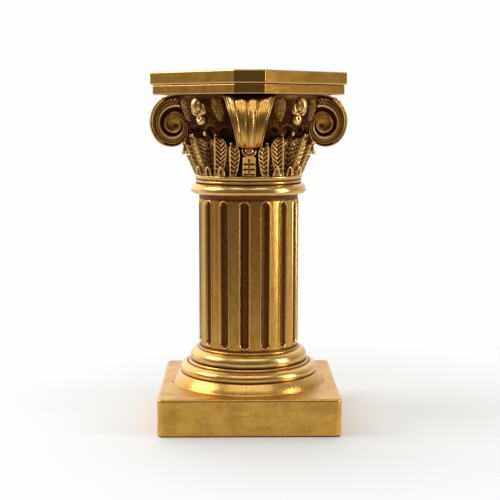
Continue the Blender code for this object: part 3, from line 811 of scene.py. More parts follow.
def column_profile(shaft_radius, flute_width):
    """Outline of the column with its mouldings, from the axis below to the axis above."""
    spread = FOOT_RADIUS - FOOT_TOP_RADIUS
    nose = [(0.97, 0.0), (0.995, 0.008), (1.0, 0.02), (0.99, 0.036), (0.96, 0.06), (0.92, 0.1), (0.87, 0.16)]
    slope = [(0.8, 0.25), (0.7, 0.37), (0.58, 0.5), (0.43, 0.64), (0.27, 0.78), (0.12, 0.9), (0.03, 0.98)]
    low = PLINTH_HIGH.z - 0.1 * MM
    profile = [(0.0, low), (FOOT_TOP_RADIUS * 0.5, low), (FOOT_TOP_RADIUS, low)]
    rise_all = FOOT_TOP - low
    profile += [(FOOT_TOP_RADIUS + spread * out, low + rise_all * rise) for out, rise in nose + slope]
    profile.append((FOOT_TOP_RADIUS, FOOT_TOP))
    below = (FILLET_RADIUS + MIDDLE_RING_RADIUS) / 2 + 1.2 * MM
    above = FILLET_RADIUS + 0.9 * MM
    profile += ring_profile(FOOT_TOP + 0.1 * MM, MIDDLE_RING_TOP, below, MIDDLE_RING_RADIUS, above, 16)
    profile += [(FILLET_RADIUS - 0.5 * MM, MIDDLE_RING_TOP), (FILLET_RADIUS - 0.5 * MM, FILLET_TOP)]
    below, above = UPPER_RING_RADIUS - 2.2 * MM, COLLAR_RADIUS + 0.4 * MM
    profile += ring_profile(FILLET_TOP, SHAFT_BASE, below, UPPER_RING_RADIUS, above, 18)
    profile += [
        (COLLAR_RADIUS, SHAFT_BASE + 0.1 * MM),
        (COLLAR_RADIUS + 0.1 * MM, SHAFT_BASE + 0.6 * MM),
        (COLLAR_RADIUS - 0.2 * MM, SHAFT_BASE + 1.2 * MM),
        (shaft_radius + 0.1 * MM, SHAFT_BASE + 1.9 * MM),
        (shaft_radius, SHAFT_BASE + 2.6 * MM),
    ]
    end = flute_width / 2 + 1.2 * MM
    low, high = SHAFT_BASE + FLUTE_END_MARGIN, SHAFT_TOP - FLUTE_END_MARGIN
    levels = list(np.linspace(low - 1.6 * MM, low + end, 18))
    levels += list(np.linspace(low + end, high - end, 28)[1:-1])
    levels += list(np.linspace(high - end, high + 1.6 * MM, 18))
    profile += [(shaft_radius, level) for level in levels]
    profile.append((shaft_radius + 0.1 * MM, SHAFT_TOP - 0.6 * MM))
    below = shaft_radius + 2.4 * MM
    profile += ring_profile(SHAFT_TOP, NECK_RING_TOP, below, NECK_RING_RADIUS, NECK_GROOVE_RADIUS, 16)
    profile.append((NECK_GROOVE_RADIUS - 0.9 * MM, NECK_RING_TOP + 0.2 * MM))
    profile.append((NECK_GROOVE_RADIUS - 0.9 * MM, NECK_GROOVE_TOP - 1.3 * MM))
    bead = 1.1 * MM
    reach, middle = NECK_GROOVE_RADIUS - 0.6 * MM, NECK_GROOVE_TOP - 0.4 * MM
    turns = np.linspace(-1.2, 1.2, 7)
    profile += [(reach + bead * math.cos(turn), middle + bead * math.sin(turn)) for turn in turns]
    profile += [
        (NECK_BAND_RADIUS - 0.9 * MM, NECK_GROOVE_TOP + 1.2 * MM),
        (NECK_BAND_RADIUS - 0.7 * MM, NECK_GROOVE_TOP + 2.0 * MM),
        (NECK_BAND_RADIUS - 0.2 * MM, NECK_GROOVE_TOP + 2.7 * MM),
        (NECK_BAND_RADIUS, COLUMN_HIGH.z - 1.9 * MM),
        (NECK_BAND_RADIUS + 0.2 * MM, COLUMN_HIGH.z - 1.0 * MM),
        (NECK_BAND_RADIUS, COLUMN_HIGH.z - 0.35 * MM),
        (NECK_BAND_RADIUS - 0.4 * MM, COLUMN_HIGH.z),
        (NECK_BAND_RADIUS - 3.0 * MM, COLUMN_HIGH.z),
        (NECK_BAND_RADIUS * 0.5, COLUMN_HIGH.z),
        (0.0, COLUMN_HIGH.z),
    ]
    return profile


def bell_radius(level):
    """Radius of the bell, upright below and flaring to its lip."""
    rise = (level - CAPITAL_BASE) / (SLAB_BASE - CAPITAL_BASE)
    flare = BELL_LIP_RADIUS - BELL_FOOT_RADIUS
    return BELL_FOOT_RADIUS + flare * spline(BELL_FLARE, rise * (len(BELL_FLARE) - 1))


def bell_profile():
    """Outline of the bell, from the axis below to the axis above, a little inside what is carved on it."""
    levels = np.linspace(CAPITAL_BASE, SLAB_BASE, 45)
    profile = [(0.0, CAPITAL_BASE), (BELL_FOOT_RADIUS - 1 * MM, CAPITAL_BASE)]
    profile += [(bell_radius(level) - 0.6 * MM, level) for level in levels]
    profile += [(BELL_FOOT_RADIUS, SLAB_BASE), (0.0, SLAB_BASE)]
    return profile


def coil_radius(angle):
    """Radius of a volute's coil, from its web at the slab round to its eye."""
    return VOLUTE_RADIUS * spline(COIL_SHARES, (angle + math.pi / 2) / (math.pi / 2))


def volute_rise(level):
    """Share of the way from the bottom of a volute up to the slab."""
    bottom = EYE_LEVEL - VOLUTE_RADIUS
    return max(0.0, min(1.0, (level - bottom) / (SLAB_BASE - bottom)))


def rim_half_width(level):
    return FOOT_HALF_WIDTH + (RIM_HALF_WIDTH - FOOT_HALF_WIDTH) * volute_rise(level) ** 1.4


def body_half_width(level):
    return BODY_FOOT_HALF_WIDTH + (BODY_HALF_WIDTH - BODY_FOOT_HALF_WIDTH) * volute_rise(level)


def coil_place(angle, radius):
    """Reach from the axis and level of a place on a coil."""
    return EYE_REACH + radius * math.sin(angle), EYE_LEVEL + radius * math.cos(angle)


def side_relief(across, angle, groove_depth):
    """Height of the coil's side over its body, across from 0 at the inner edge to 1 at the rim."""
    bands = 0.0
    for place, width, height in ((0.78, 0.07, 0.45), (0.6, 0.05, 0.3), (0.44, 0.06, 0.55)):
        bands += height * MM * float(bump_at(across, place, width))
    groove = groove_depth * float(ramp(across, 0.37, 0.26) * ramp(across, 0.09, 0.18))
    fringe = 0.5 * MM * math.sin(angle * 40 + across * 22)
    fringe *= float(ramp(angle, 0.25, -0.15) * ramp(across, 0.35, 0.55))
    coiled = -0.7 * MM + bands - groove + fringe
    inner_band = 0.5 * MM * float(bump_at(across, 0.55, 0.35)) - 0.6 * MM
    inner = float(ramp(angle, math.radians(255), math.radians(320)))
    return coiled + (inner_band - coiled) * inner


def eye_relief(angle, radius):
    """Crescent lip round the outward side of a volute's eye, and the dish inside it."""
    turn = math.degrees((angle + math.pi) % TAU - math.pi)
    window = float(ramp(turn, -25, 60) * ramp(turn, 185, 120))
    crest = (8.7 - 2.6 * max(0.0, turn) / 180) * MM
    lip = 1.7 * MM * window * float(bump_at(radius, crest, (0.7 + 0.9 * window) * MM))
    x, z = radius * math.sin(angle) + 1.3 * MM, radius * math.cos(angle) + 0.9 * MM
    dish = 2.3 * MM * math.exp(-(x * x + z * z) / (4.0 * MM) ** 2)
    return lip - dish


def volute_stock(groove_depth):
    """One volute: two coiled sides with spiral relief, and the sunk rim between their flanges."""
    step = math.radians(3)
    per_turn = round(TAU / step)
    columns = round((COIL_END - COIL_START) / step)
    across_places = np.concatenate([[1.0, 0.985, 0.965, 0.945, 0.92, 0.895], np.linspace(0.865, 0.04, 21)])
    bm = bmesh.new()

    def side_grid(side):
        grid = []
        for column in range(columns + 1):
            angle = COIL_START + column * step
            outer, inner = coil_radius(angle), coil_radius(angle + TAU)
            line = []
            for across in across_places:
                if across == 1.0 and column >= per_turn:
                    line.append(grid[column - per_turn][-1])
                    continue
                reach, level = coil_place(angle, inner + (outer - inner) * across)
                flange = float(ramp(across, 0.9, 0.96)) if column < per_turn else 0.0
                radius = inner + (outer - inner) * across
                width = body_half_width(level)
                width += side_relief(across, angle, groove_depth) * float(ramp(radius, 5.2 * MM, 7.4 * MM))
                width += eye_relief(angle, radius) * float(ramp(radius, 11 * MM, 8.5 * MM))
                width += (rim_half_width(level) - width) * flange
                line.append(bm.verts.new((side * width, -reach, level)))
            reach, level = coil_place(angle, inner)
            width = body_half_width(level) + eye_relief(angle, inner) * float(ramp(inner, 11 * MM, 8.5 * MM))
            line.append(bm.verts.new((side * width, -reach, level)))
            grid.append(line)
        for before, after in zip(grid, grid[1:]):
            for index in range(len(before) - 1):
                bm.faces.new((before[index], after[index], after[index + 1], before[index + 1]))
        return grid

    def close_eye(grid, side):
        border = [line[-1] for line in grid[columns - per_turn :]] + grid[columns][-2:0:-1]
        eye = Vector((0.0, -EYE_REACH, EYE_LEVEL))
        first = [vert.co.copy() for vert in border]
        for scale in (0.88, 0.76, 0.64, 0.52, 0.4, 0.3, 0.2, 0.1):
            inner_ring = []
            for place in first:
                point = eye + (place - eye) * scale
                reach, rise = -point.y - EYE_REACH, point.z - EYE_LEVEL
                relief = eye_relief(math.atan2(reach, rise), math.hypot(reach, rise))
                point.x = side * (body_half_width(point.z) + relief)
                inner_ring.append(bm.verts.new(point))
            for index in range(len(border)):
                after = (index + 1) % len(border)
                bm.faces.new((border[index], border[after], inner_ring[after], inner_ring[index]))
            border = inner_ring
        width = body_half_width(EYE_LEVEL) + eye_relief(0.0, 0.0)
        centre = bm.verts.new((side * width, -EYE_REACH, EYE_LEVEL))
        for index, vert in enumerate(border):
            bm.faces.new((vert, border[(index + 1) % len(border)], centre))

    sides = {side: side_grid(side) for side in (1, -1)}
    for side, grid in sides.items():
        close_eye(grid, side)
    rim = []
    rim_steps = 22
    for column in range(per_turn + 1):
        angle = COIL_START + column * step
        line = [sides[1][column][0]]
        for index in range(1, rim_steps):
            across = math.sin(math.pi * (0.5 - index / rim_steps))
            sunk = float(ramp(abs(across), 0.98, 0.88))
            reach, level = coil_place(angle, coil_radius(angle) - 1.0 * MM * sunk)
            line.append(bm.verts.new((across * rim_half_width(level), -reach, level)))
        line.append(sides[-1][column][0])
        rim.append(line)
    for before, after in zip(rim, rim[1:]):
        for index in range(rim_steps):
            bm.faces.new((before[index], before[index + 1], after[index + 1], after[index]))
    bm.faces.new(rim[0] + sides[-1][0][1:] + rim[-1][::-1][1:] + sides[1][0][1:-1][::-1])
    bm.verts.index_update()
    faces = [[vert.index for vert in face.verts] for face in bm.faces]
    stock = Stock()
    stock.add([vert.co.copy() for vert in bm.verts], faces)
    bm.free()
    return stock


def leaf_grids(rib, spread, back, height, tip_reach, veins, sizes, mirrored):
    """Front and back grids of an acanthus leaf folded along its rib, with wavy rims and chevron veins."""
    rows, columns = 84, 54
    split = 0.54
    along = np.linspace(0.0, 1.0, rows)[:, None]
    across = np.linspace(0.0, 1.0, columns)[None, :]
    front = np.clip(across / split, 0.0, 1.0)
    behind = np.clip((across - split) / (1 - split), 0.0, 1.0)
    inside = np.where(across < split, front, 1 - behind)
    spread, back = math.radians(spread), math.radians(back)
    reach = LEAF_FOOT_RADIUS + 0.4 * MM + (tip_reach - LEAF_FOOT_RADIUS) * along**1.12
    shape = np.interp(along, *LEAF_SHAPE)
    scallop = 0.035 * np.abs(np.sin(along * veins * math.pi)) * ramp(along, 0.02, 0.2) * ramp(along, 1.0, 0.9)
    rib_angle = np.arcsin(rib / reach) - math.radians(1.5) * ramp(along, 0.86, 1.0)
    angle = rib_angle - (spread * (1 - front) - back * behind) * (shape + scallop)

    width = np.where(across < split, spread, back) * shape * reach
    off_centre = (inside - 0.5) * width
    level = CAPITAL_BASE + height * along * (1.0 - 0.06 * (1 - inside) * along**5)
    spacing = height / (veins + 0.5)
    phase = (level - CAPITAL_BASE - 1.0 * np.abs(off_centre)) / spacing
    vein = (0.5 + 0.5 * np.cos(TAU * phase)) ** 2.2
    within = ramp(inside, 0.03, 0.16) * ramp(inside, 0.97, 0.84)
    fade = ramp(along, 0.02, 0.1) * ramp(along, 0.94, 0.82)
    valley = 1.5 * MM * (1 - (2 * inside - 1) ** 2) ** 0.7 * ramp(along, 0.0, 0.12) * ramp(along, 1.0, 0.93)
    relief = sizes.vein_height * vein * within * fade - valley
    rim = 0.5 * MM / np.maximum(width, 1.5 * MM)
    relief = relief + sizes.rim_height * bump_at(inside, rim, rim * 1.1)
    relief = relief + 1.2 * sizes.rim_height * bump_at(inside, 1 - rim, rim * 1.2)
    relief = relief + sizes.rim_height * bump_at(along, 0.968, 0.02) * ramp(inside, 0.0, 0.3)
    fall = 5.2 * MM * behind**0.85 + 0.9 * MM * (1 - front) ** 3
    curl = 1.3 * MM * ramp(along, 0.86, 1.0) ** 2
    outer = reach + relief - fall + curl
    inner = np.minimum(reach - fall - 3.0 * MM - 1.5 * MM * (1 - along) + curl, outer - 0.9 * MM)
    if mirrored:
        angle = math.pi / 2 - angle
    return around(angle, outer, level), around(angle, inner, level)


def middle_leaf_grids():
    """Plain leaf set back at the middle of a side, with a curled tip."""
    along = np.linspace(0.0, 1.0, 60)[:, None]
    across = np.linspace(-1.0, 1.0, 30)[None, :]
    half = math.radians(5.2) * np.interp(along, (0.0, 0.7, 0.85, 0.95, 1.0), (1.0, 1.0, 0.85, 0.5, 0.12))
    angle = math.radians(45) + half * across
    curl = 2.2 * MM * ramp(along, 0.84, 1.0) ** 2
    veins = (0.5 + 0.5 * np.cos(TAU * (along * 8 - 0.5 * np.abs(across)))) ** 2
    veins = 0.5 * MM * veins * ramp(along, 0.9, 0.8)
    ridge = 0.9 * MM * bump_at(across, 0.0, 0.22) + veins * ramp(np.abs(across), 0.95, 0.8)
    reach = LEAF_FOOT_RADIUS - 1.2 * MM + 4.6 * MM * along + ridge + curl + 0.5 * MM * across**2
    level = CAPITAL_BASE + 35.6 * MM * along + np.zeros_like(across)
    return around(angle, reach, level), around(angle, reach - 2.2 * MM, level)


def dart_rings(place):
    """Small inverted V between two leaves at their foot."""
    height, half, radius = 7.0 * MM, 2.5 * MM, 0.8 * MM
    rings = []
    for step in range(25):
        turn = math.pi * step / 24
        side = -math.cos(turn)
        rise = math.sin(turn) ** 0.8
        reach = LEAF_FOOT_RADIUS + 2.1 * MM + 1.6 * MM * rise
        centre = Vector(around(math.radians(place) + side * half / LEAF_FOOT_RADIUS, reach, 0.0))
        centre.z = CAPITAL_BASE + 0.2 * MM + height * rise
        outward = Vector((centre.x, centre.y, 0.0)).normalized()
        along = Vector((outward.y, -outward.x, 0.0))
        slope = Vector((0, 0, 1)) * math.cos(turn) + along * -math.sin(turn)
        cross = outward.cross(slope).normalized()
        rings.append([centre + (cross * cos + outward * sin) * radius for cos, sin in circle(10)])
    return rings


def skirt_edge(degrees):
    """Level of the lower edge above the leaves: round arches that meet in points at the leaf tips."""
    first, second, middle = APRON_FOLDS
    fold = middle - abs(degrees - middle)
    if fold < first:
        return APRON_POINT + (0.4 + 2.1 * (first - fold)) * MM
    if fold < second:
        return APRON_POINT + 5.2 * MM * math.sin(math.pi * (fold - first) / (second - first)) ** 0.6
    return APRON_POINT + 6.4 * MM * math.sin(math.pi * (fold - second) / (middle - second)) ** 0.6


def skirt_grids():
    """Thin apron on the bell above the leaves, with a wavy lower edge whose points meet the leaf tips."""
    rows, columns = 40, 170
    start, end = APRON_EDGE, 90.0 - APRON_EDGE
    degrees = np.linspace(start, end, columns)
    front = np.zeros((rows, columns, 3))
    back = np.zeros((rows, columns, 3))
    for column, place in enumerate(degrees):
        low = float(skirt_edge(place))
        side = 1.0 - min(1.0, min(place - start, end - place) / 0.8)
        for row in range(rows):
            share = (row / (rows - 1)) ** 1.8
            level = low + (SLAB_BASE - low) * share
            base = bell_radius(level)
            rounded = math.sqrt(1 - max(0.0, 1 - share / 0.03) ** 2) * math.sqrt(1 - side**2)
            bead = 0.45 * MM * float(bump_at(share, 0.03, 0.022))
            proud = (2.2 * MM * float(ramp(share, 1.0, 0.5)) + 0.3 * MM + bead) * rounded
            front[row, column] = around(math.radians(place), base + proud, level)
            back[row, column] = around(math.radians(place), base - 1.2 * MM, level)
    return front, back


def stalk_grids():
    """Strap of the stalk below a volute, with a middle groove and three rows of blocks."""
    along = np.linspace(0.0, 1.0, 70)[:, None]
    across = np.linspace(-1.0, 1.0, 40)[None, :]
    half = 5.9 * MM
    level = CAPITAL_BASE + 16.2 * MM * along + np.zeros_like(across)
    reach = LEAF_FOOT_RADIUS + 0.2 * MM + 7.0 * MM * along**1.15
    edge = ramp(np.abs(across), 1.0, 0.86)
    middle = ramp(np.abs(across), 0.1, 0.24)
    low_step = (along - 0.1) / 0.27
    notch = np.exp(-(((low_step - np.round(low_step)) * 0.27 / 0.035) ** 2)) * ramp(along, 0.9, 0.8)
    blocks = (1 - 0.85 * notch * ramp(np.abs(across), 0.92, 0.7)) * (0.35 + 0.65 * middle)
    blocks = blocks * ramp(along, 0.0, 0.05) + 0.5 * ramp(along, 0.86, 0.94) * (1 - middle)
    relief = 1.3 * MM * blocks * (0.35 + 0.65 * edge) - 1.2 * MM * (1 - edge)
    x = half * across * (1 - 0.04 * along)
    front = np.stack([x + 0 * along, -(reach + relief), level], axis=-1)
    back = np.stack([x + 0 * along, -(reach - 5.0 * MM) + 0 * x, level], axis=-1)
    return front, back


def tulip_rings():
    """Lip of the flower on top of a stalk: a crescent, thick below and thin at its two horns."""
    rings = []
    for share in np.linspace(0.0, 1.0, 41):
        turn = math.pi * (-1.12 + 1.24 * share)
        centre = Vector((5.3 * MM * math.cos(turn), 0.0, CAPITAL_BASE + (21.6 + 4.4 * math.sin(turn)) * MM))
        centre.y = -(55.4 * MM + 1.2 * MM * math.sin(-turn))
        radius = (0.4 + 0.6 * math.sin(math.pi * share) ** 0.7) * MM
        inward = Vector((-math.cos(turn), 0.0, -math.sin(turn))) * radius
        deep = Vector((0.0, 1.5 * radius, 0.0))
        rings.append([centre + inward * cos + deep * sin for cos, sin in circle(12)])
    return rings


def cup_rings():
    """Dish of the flower behind its lip, narrowing down into the strap."""
    sections = (
        (17.1, 1.8, 1.4), (17.7, 3.4, 2.6), (18.9, 4.6, 3.7), (20.5, 5.0, 4.2), (21.9, 4.5, 3.8),
        (23.5, 3.3, 2.8), (25.3, 2.3, 2.0), (26.7, 1.9, 1.6), (28.1, 1.7, 1.4),
    )
    foot = Vector((0.0, 0.0, CAPITAL_BASE))
    rings = []
    for rise, half_x, half_y in sections:
        centre = foot + Vector((0.0, -53.0 - 4.0 * float(ramp(rise, 22.7, 27.7)), rise)) * MM
        rings.append([centre + Vector((half_x * cos, half_y * sin, 0.0)) * MM for cos, sin in circle(24)])
    return rings


def web_rings():
    """Web that joins a volute to the bell."""
    outline = ((43, 23.2), (50, 23.7), (55, 26.2), (58, 32.7), (58, 50.7), (50, 58.7), (43, 58.7))
    return [
        [(half * MM, -reach * MM, CAPITAL_BASE + rise * MM) for reach, rise in outline]
        for half in (-6.6, -3.0, 3.0, 6.6)
    ]


def knob_rings(degrees, reach, level, radius):
    """Small round knob on the tip of a leaf."""
    centre = Vector(around(math.radians(degrees), reach, level))
    rings = []
    for row in range(1, 9):
        tilt = math.pi * row / 9
        wide, high = math.sin(tilt), -1.2 * math.cos(tilt)
        rings.append([centre + Vector((wide * cos, wide * sin, high)) * radius for cos, sin in circle(12)])
    return rings


def volute_leaf_rings(sizes):
    """Leaf draped over the rim of a volute, with four petals and fine fluting, as rings from its top down."""
    rows, columns = 120, 90
    across = np.sin(np.linspace(-0.5, 0.5, columns) * math.pi * 0.985)
    front = np.zeros((rows, columns, 3))
    back = np.zeros((rows, columns, 3))
    bounds = np.array((-1.0, -0.62, -0.1, 0.4, 1.0))
    for row in range(rows):
        for column, side in enumerate(across):
            petal = int(np.clip(np.searchsorted(bounds, side) - 1, 0, 3))
            inside = (side - bounds[petal]) / (bounds[petal + 1] - bounds[petal])
            crown = 1 - (2 * inside - 1) ** 2
            lipped = float(ramp(abs(side), 0.8, 0.9))
            top = math.radians(33 + 3.2 * (1 - crown**0.6) - 16 * lipped)
            bottom = math.radians(166 - 15 * abs(side) ** 1.5)
            share = row / (rows - 1)
            angle = top + (bottom - top) * share
            radius = coil_radius(angle)
            reach, level = coil_place(angle, radius)
            half = rim_half_width(level) - 0.5 * MM
            spread = 1.0 - 0.05 * float(ramp(share, 0.25, 0.0)) * (1 - abs(side))
            fade = float(ramp(share, 1.0, 0.75))
            groove = sizes.petal_depth * (0.35 + 0.65 * fade) * (1 - crown**0.45)
            ridge = 0.9 * MM * float(bump_at(side, 0.18, 0.045)) * float(ramp(share, 0.12, 0.3)) * fade
            hollow = 0.7 * MM * float(bump_at(side, -0.12, 0.16)) * float(bump_at(share, 0.42, 0.22))
            fluting = 0.08 * MM * math.sin(side * 46 + 3 * math.sin(share * 5 + side * 7)) * fade
            edge = float(ramp(abs(side), 1.0, 0.93))
            curl = 1.3 * MM * float(ramp(share, 0.13, 0.0)) ** 2 * (0.4 + 0.6 * crown) * (1 - lipped)
            lift = 1.6 * MM * edge - groove * edge + ridge - hollow + fluting + curl
            lift = lift * (0.25 + 0.75 * float(ramp(share, 1.0, 0.93))) - 1.0 * MM
            reach, level = coil_place(angle, radius + lift)
            front[row, column] = (side * half * spread, -reach, level)
            reach, level = coil_place(angle, radius - (1.9 + 0.9 * edge) * MM + curl)
            back[row, column] = (side * half * spread, -reach, level)
    turned_back = np.linspace(columns - 1, 0, 14).round().astype(int)
    return [[*front[row], *back[row][turned_back]] for row in range(rows)]


def bud_stock():
    """Folded bud at the middle of a side, drawn at the front: a large petal, two beside it, a lobe below."""
    stock = Stock()
    under_slab = Vector((0.0, 0.0, SLAB_BASE))

    def lobe(centre, axis_u, axis_v, axis_w, shape=None):
        rises = 22
        rings = []
        for row in range(1, rises):
            tilt = math.pi * row / rises
            wide, w = math.sin(tilt), -math.cos(tilt)
            ring = []
            for cos, sin in circle(32):
                u, v = wide * cos, wide * sin
                scale = shape(u, v, w) if shape else 1.0
                point = Vector(centre) + (axis_u * u + axis_v * v + axis_w * w) * scale
                ring.append(under_slab + point * MM)
            rings.append(ring)
        stock.add_tube(rings)

    def folded(u, v, w):
        return 1.0 - 0.16 * float(bump_at(abs(u) - 0.2 * w, 0.62, 0.13)) * float(ramp(-v, -0.3, 0.3))

    def pitted(u, v, w):
        return 1.0 - 0.5 * float(bump_at(math.hypot(u, w - 0.15), 0.0, 0.45)) * float(ramp(-v, 0.0, 0.7))

    x, y, z = Vector((1, 0, 0)), Vector((0, 1, 0)), Vector((0, 0, 1))
    lobe((0.0, -61.2, -8.9), x * 5.4, y * 4.6, z * 6.6, folded)
    for side in (-1, 1):
        lobe((5.0 * side, -58.0, -11.3), x * 3.4, y * 3.4, z * 5.2 - x * 0.9 * side, pitted)
        lobe((3.4 * side, -59.2, -16.3), x * 3.2 + z * 0.8 * side, y * 2.0, z * 1.3)
    lobe((0.0, -55.6, -20.5), x * 4.9, y * 4.3, z * 4.9, pitted)
    lobe((0.0, -54.6, -14.9), x * 4.2, y * 4.6, z * 6.5)
    return stock


def cluster_body():
    """Tapered body that the beads of a cluster sit on, drawn at the front: wide above, narrow below."""
    rings = []
    for row in range(1, 20):
        share = row / 20
        bulge = math.sin(math.pi * share**0.8) ** 0.55 * (0.5 + 0.6 * share)
        ring = []
        for cos, sin in circle(28):
            x = ((4.2 + 3.6 * share) * bulge * cos - 2.2 * (share - 0.5)) * MM
            y = -(55.2 + 4.4 * share) * MM + 4.0 * MM * bulge * sin
            ring.append(Vector((x, y, SLAB_BASE - (22.5 - 20.4 * share) * MM)))
        rings.append(ring)
    stock = Stock()
    stock.add_tube(rings)
    return stock


def quarter_ring_tree():
    """Repeats the carving of one corner round the four corners."""
    tree, given = geometry_tree("Four Corners", {"Corners": "Int", "Turn": "Float", "Material": "Material"})
    inputs = {"Count": given["Corners"], "Offset": (0, 0, 0)}
    line = tree.node("GeometryNodeMeshLine", {"mode": "OFFSET"}, inputs)
    angle = tree.node("GeometryNodeInputIndex") * (TAU / given["Corners"]) + given["Turn"]
    turned = tree.node("ShaderNodeCombineXYZ", None, {"Z": angle})
    inputs = {"Points": line, "Instance": given["Geometry"], "Rotation": turned}
    copies = tree.node("GeometryNodeInstanceOnPoints", None, inputs)
    finish_tree(tree, copies, given["Material"])
    return tree


def bead_tree():
    """Scatters beads and small curls over a body, with a fixed seed, and keeps the body below them."""
    sizes = {"Bead Radius": "Float", "Spacing": "Float", "Seed": "Int", "Material": "Material"}
    tree, given = geometry_tree("Bead Cluster", sizes)
    body, seed = given["Geometry"], given["Seed"]
    inputs = {"Mesh": body, "Distance Min": given["Spacing"], "Density Max": 4e6, "Seed": seed}
    points = tree.node("GeometryNodeDistributePointsOnFaces", {"distribute_method": "POISSON"}, inputs)
    turned = tree.other(points, "Rotation")
    bead = tree.node("GeometryNodeMeshIcoSphere", None, {"Radius": given["Bead Radius"], "Subdivisions": 2})
    by_radius = {"mode": "RADIUS"}
    inputs = {"Resolution": 9, "Radius": given["Bead Radius"] * 1.25, "Sweep Angle": math.radians(250)}
    arc = tree.node("GeometryNodeCurveArc", by_radius, inputs)
    section = tree.node("GeometryNodeCurvePrimitiveCircle", by_radius, {"Resolution": 6, "Radius": 0.38 * MM})
    inputs = {"Curve": arc, "Profile Curve": section, "Fill Caps": True}
    curl = tree.node("GeometryNodeCurveToMesh", None, inputs)
    kinds = tree.node("GeometryNodeGeometryToInstance", None, {0: (bead, curl)})
    inputs = {4: 0, 5: 1, "Seed": seed + 3}
    pick = tree.node("FunctionNodeRandomValue", {"data_type": "INT"}, inputs, output=2)
    inputs = {0: (0.65, 0.65, 0.8), 1: (1.1, 1.2, 1.3), "Seed": seed}
    squeeze = tree.node("FunctionNodeRandomValue", {"data_type": "FLOAT_VECTOR"}, inputs)
    inputs = {"Points": points, "Instance": kinds, "Pick Instance": True, "Instance Index": pick}
    inputs.update({"Rotation": turned, "Scale": squeeze})
    copies = tree.node("GeometryNodeInstanceOnPoints", None, inputs)
    real = tree.node("GeometryNodeRealizeInstances", None, {0: copies})
    both = tree.node("GeometryNodeJoinGeometry", None, {0: (body, real)})
    finish_tree(tree, both, given["Material"])
    return tree


def carve_corners(name, stock, material, turn=0.0):
    """Makes one piece of the capital from the carving of one corner."""
    item = stock.to_object(name)
    apply_tree(item, quarter_ring_tree(), {"Corners": CORNERS, "Turn": turn, "Material": material})
    dress(item, "capital", material)


def ageing_and_shading_tree(rays):
    """Uneven casting, and two values on each point that the wash, painted shade and painted highlight read:
    how hollow its place is, and how sharp its edge.
    """
    sizes = {"Surroundings": "Object", "Reach": "Float", "Unevenness": "Float"}
    tree, given = geometry_tree("Ageing", sizes)
    place = tree.node("GeometryNodeInputPosition")
    normal = tree.node("GeometryNodeInputNormal")
    original = {"transform_space": "ORIGINAL"}
    around_it = tree.node("GeometryNodeObjectInfo", original, {0: given["Surroundings"]}, output="Geometry")
    start = tree.vector("MULTIPLY_ADD", normal, (0.12 * MM,) * 3, place)
    hollow = None
    golden = math.pi * (3 - math.sqrt(5))
    for index in range(rays):
        height = 1 - 2 * (index + 0.5) / rays
        ring = math.sqrt(1 - height * height)
        unit = (0.97 * ring * math.cos(golden * index), 0.97 * ring * math.sin(golden * index), 0.97 * height)
        inputs = {"Target Geometry": around_it, "Source Position": start, "Ray Length": given["Reach"]}
        inputs["Ray Direction"] = tree.vector("ADD", normal, unit)
        ray = tree.node("GeometryNodeRaycast", None, inputs)
        near = tree.other(ray, "Hit Distance") / given["Reach"]
        blocked = ray * (1.0 - near * near * 0.8)
        hollow = blocked if hollow is None else hollow + blocked
    hollow = hollow * (1.0 / rays)

    edge = None
    for steps, height in ((3, 0.12 * MM), (18, 0.45 * MM)):
        inputs = {"Value": place, "Iterations": steps}
        blurred = tree.node("GeometryNodeBlurAttribute", {"data_type": "FLOAT_VECTOR"}, inputs)
        sharp = tree.vector("DOT_PRODUCT", tree.vector("SUBTRACT", place, blurred), normal, output=1)
        share_here = (sharp / height).math("MAXIMUM", -1.0).math("MINIMUM", 1.0) * 0.3
        edge = share_here + 0.5 if edge is None else edge + share_here

    stored = tree.store(tree.store(given["Geometry"], "hollow", hollow), "edge", edge)
    broad = tree.noise(place, 90.0, 1.0) - 0.5
    fine = tree.noise(place, 420.0, 2.0) - 0.5
    shift = (broad * 2.0 + fine * 0.6) * given["Unevenness"]
    offset = tree.node("ShaderNodeVectorMath", {"operation": "SCALE"}, {0: normal, "Scale": shift})
    uneven = tree.node("GeometryNodeSetPosition", None, {"Geometry": stored, "Offset": offset})
    finish_tree(tree, uneven)
    return tree


def joined_copy(items):
    """One passing object holding the faces of several, for the rays to meet."""
    stock = Stock()
    for item in items:
        stock.add_mesh(item.data)
    mesh = bpy.data.meshes.new("surroundings")
    mesh.from_pydata(stock.points, [], stock.faces)
    return place_in_scene("surroundings", mesh)


class PEDESTAL_OT_plinth(bpy.types.Operator):
    """Builds the square block that the column stands on"""

    bl_idname = "pedestal.plinth"
    bl_label = "Plinth"

    def execute(self, context):
        half = (PLINTH_HIGH.x - PLINTH_LOW.x) / 2
        corners = [(-half, -half), (half, -half), (half, half), (-half, half)]
        sizes = (PLINTH_CORNER_RADIUS, PLINTH_LOW.z, PLINTH_HIGH.z, PLINTH_EDGE)
        item = slab_object("plinth_body", corners, *sizes, side_points=56, rows=14, inner_step=0.04)
        dress(item, "plinth", node_material("plinth"))
        return {"FINISHED"}


class PEDESTAL_OT_column(bpy.types.Operator):
    """Turns the base mouldings, the fluted shaft and the neck rings"""

    bl_idname = "pedestal.column"
    bl_label = "Column"

    def execute(self, context):
        sizes = context.scene.pedestal_column
        values = {
            "Flutes": sizes.flute_count,
            "Flute Width": sizes.flute_width,
            "Flute Depth": sizes.flute_depth,
            "Lip Height": sizes.lip_height,
            "Radius": sizes.shaft_radius,
            "Low": SHAFT_BASE + FLUTE_END_MARGIN,
            "High": SHAFT_TOP - FLUTE_END_MARGIN,
            "Turn": FLUTE_TURN,
            "Seam Height": sizes.seam_height,
            "Seam Angle": SEAM_ANGLE,
        }
        profile = column_profile(sizes.shaft_radius, sizes.flute_width)
        item = turned_object("column_body", profile, node_material("column"), COLUMN_STEPS, values)
        dress(item, "column", node_material("column"))
        return {"FINISHED"}


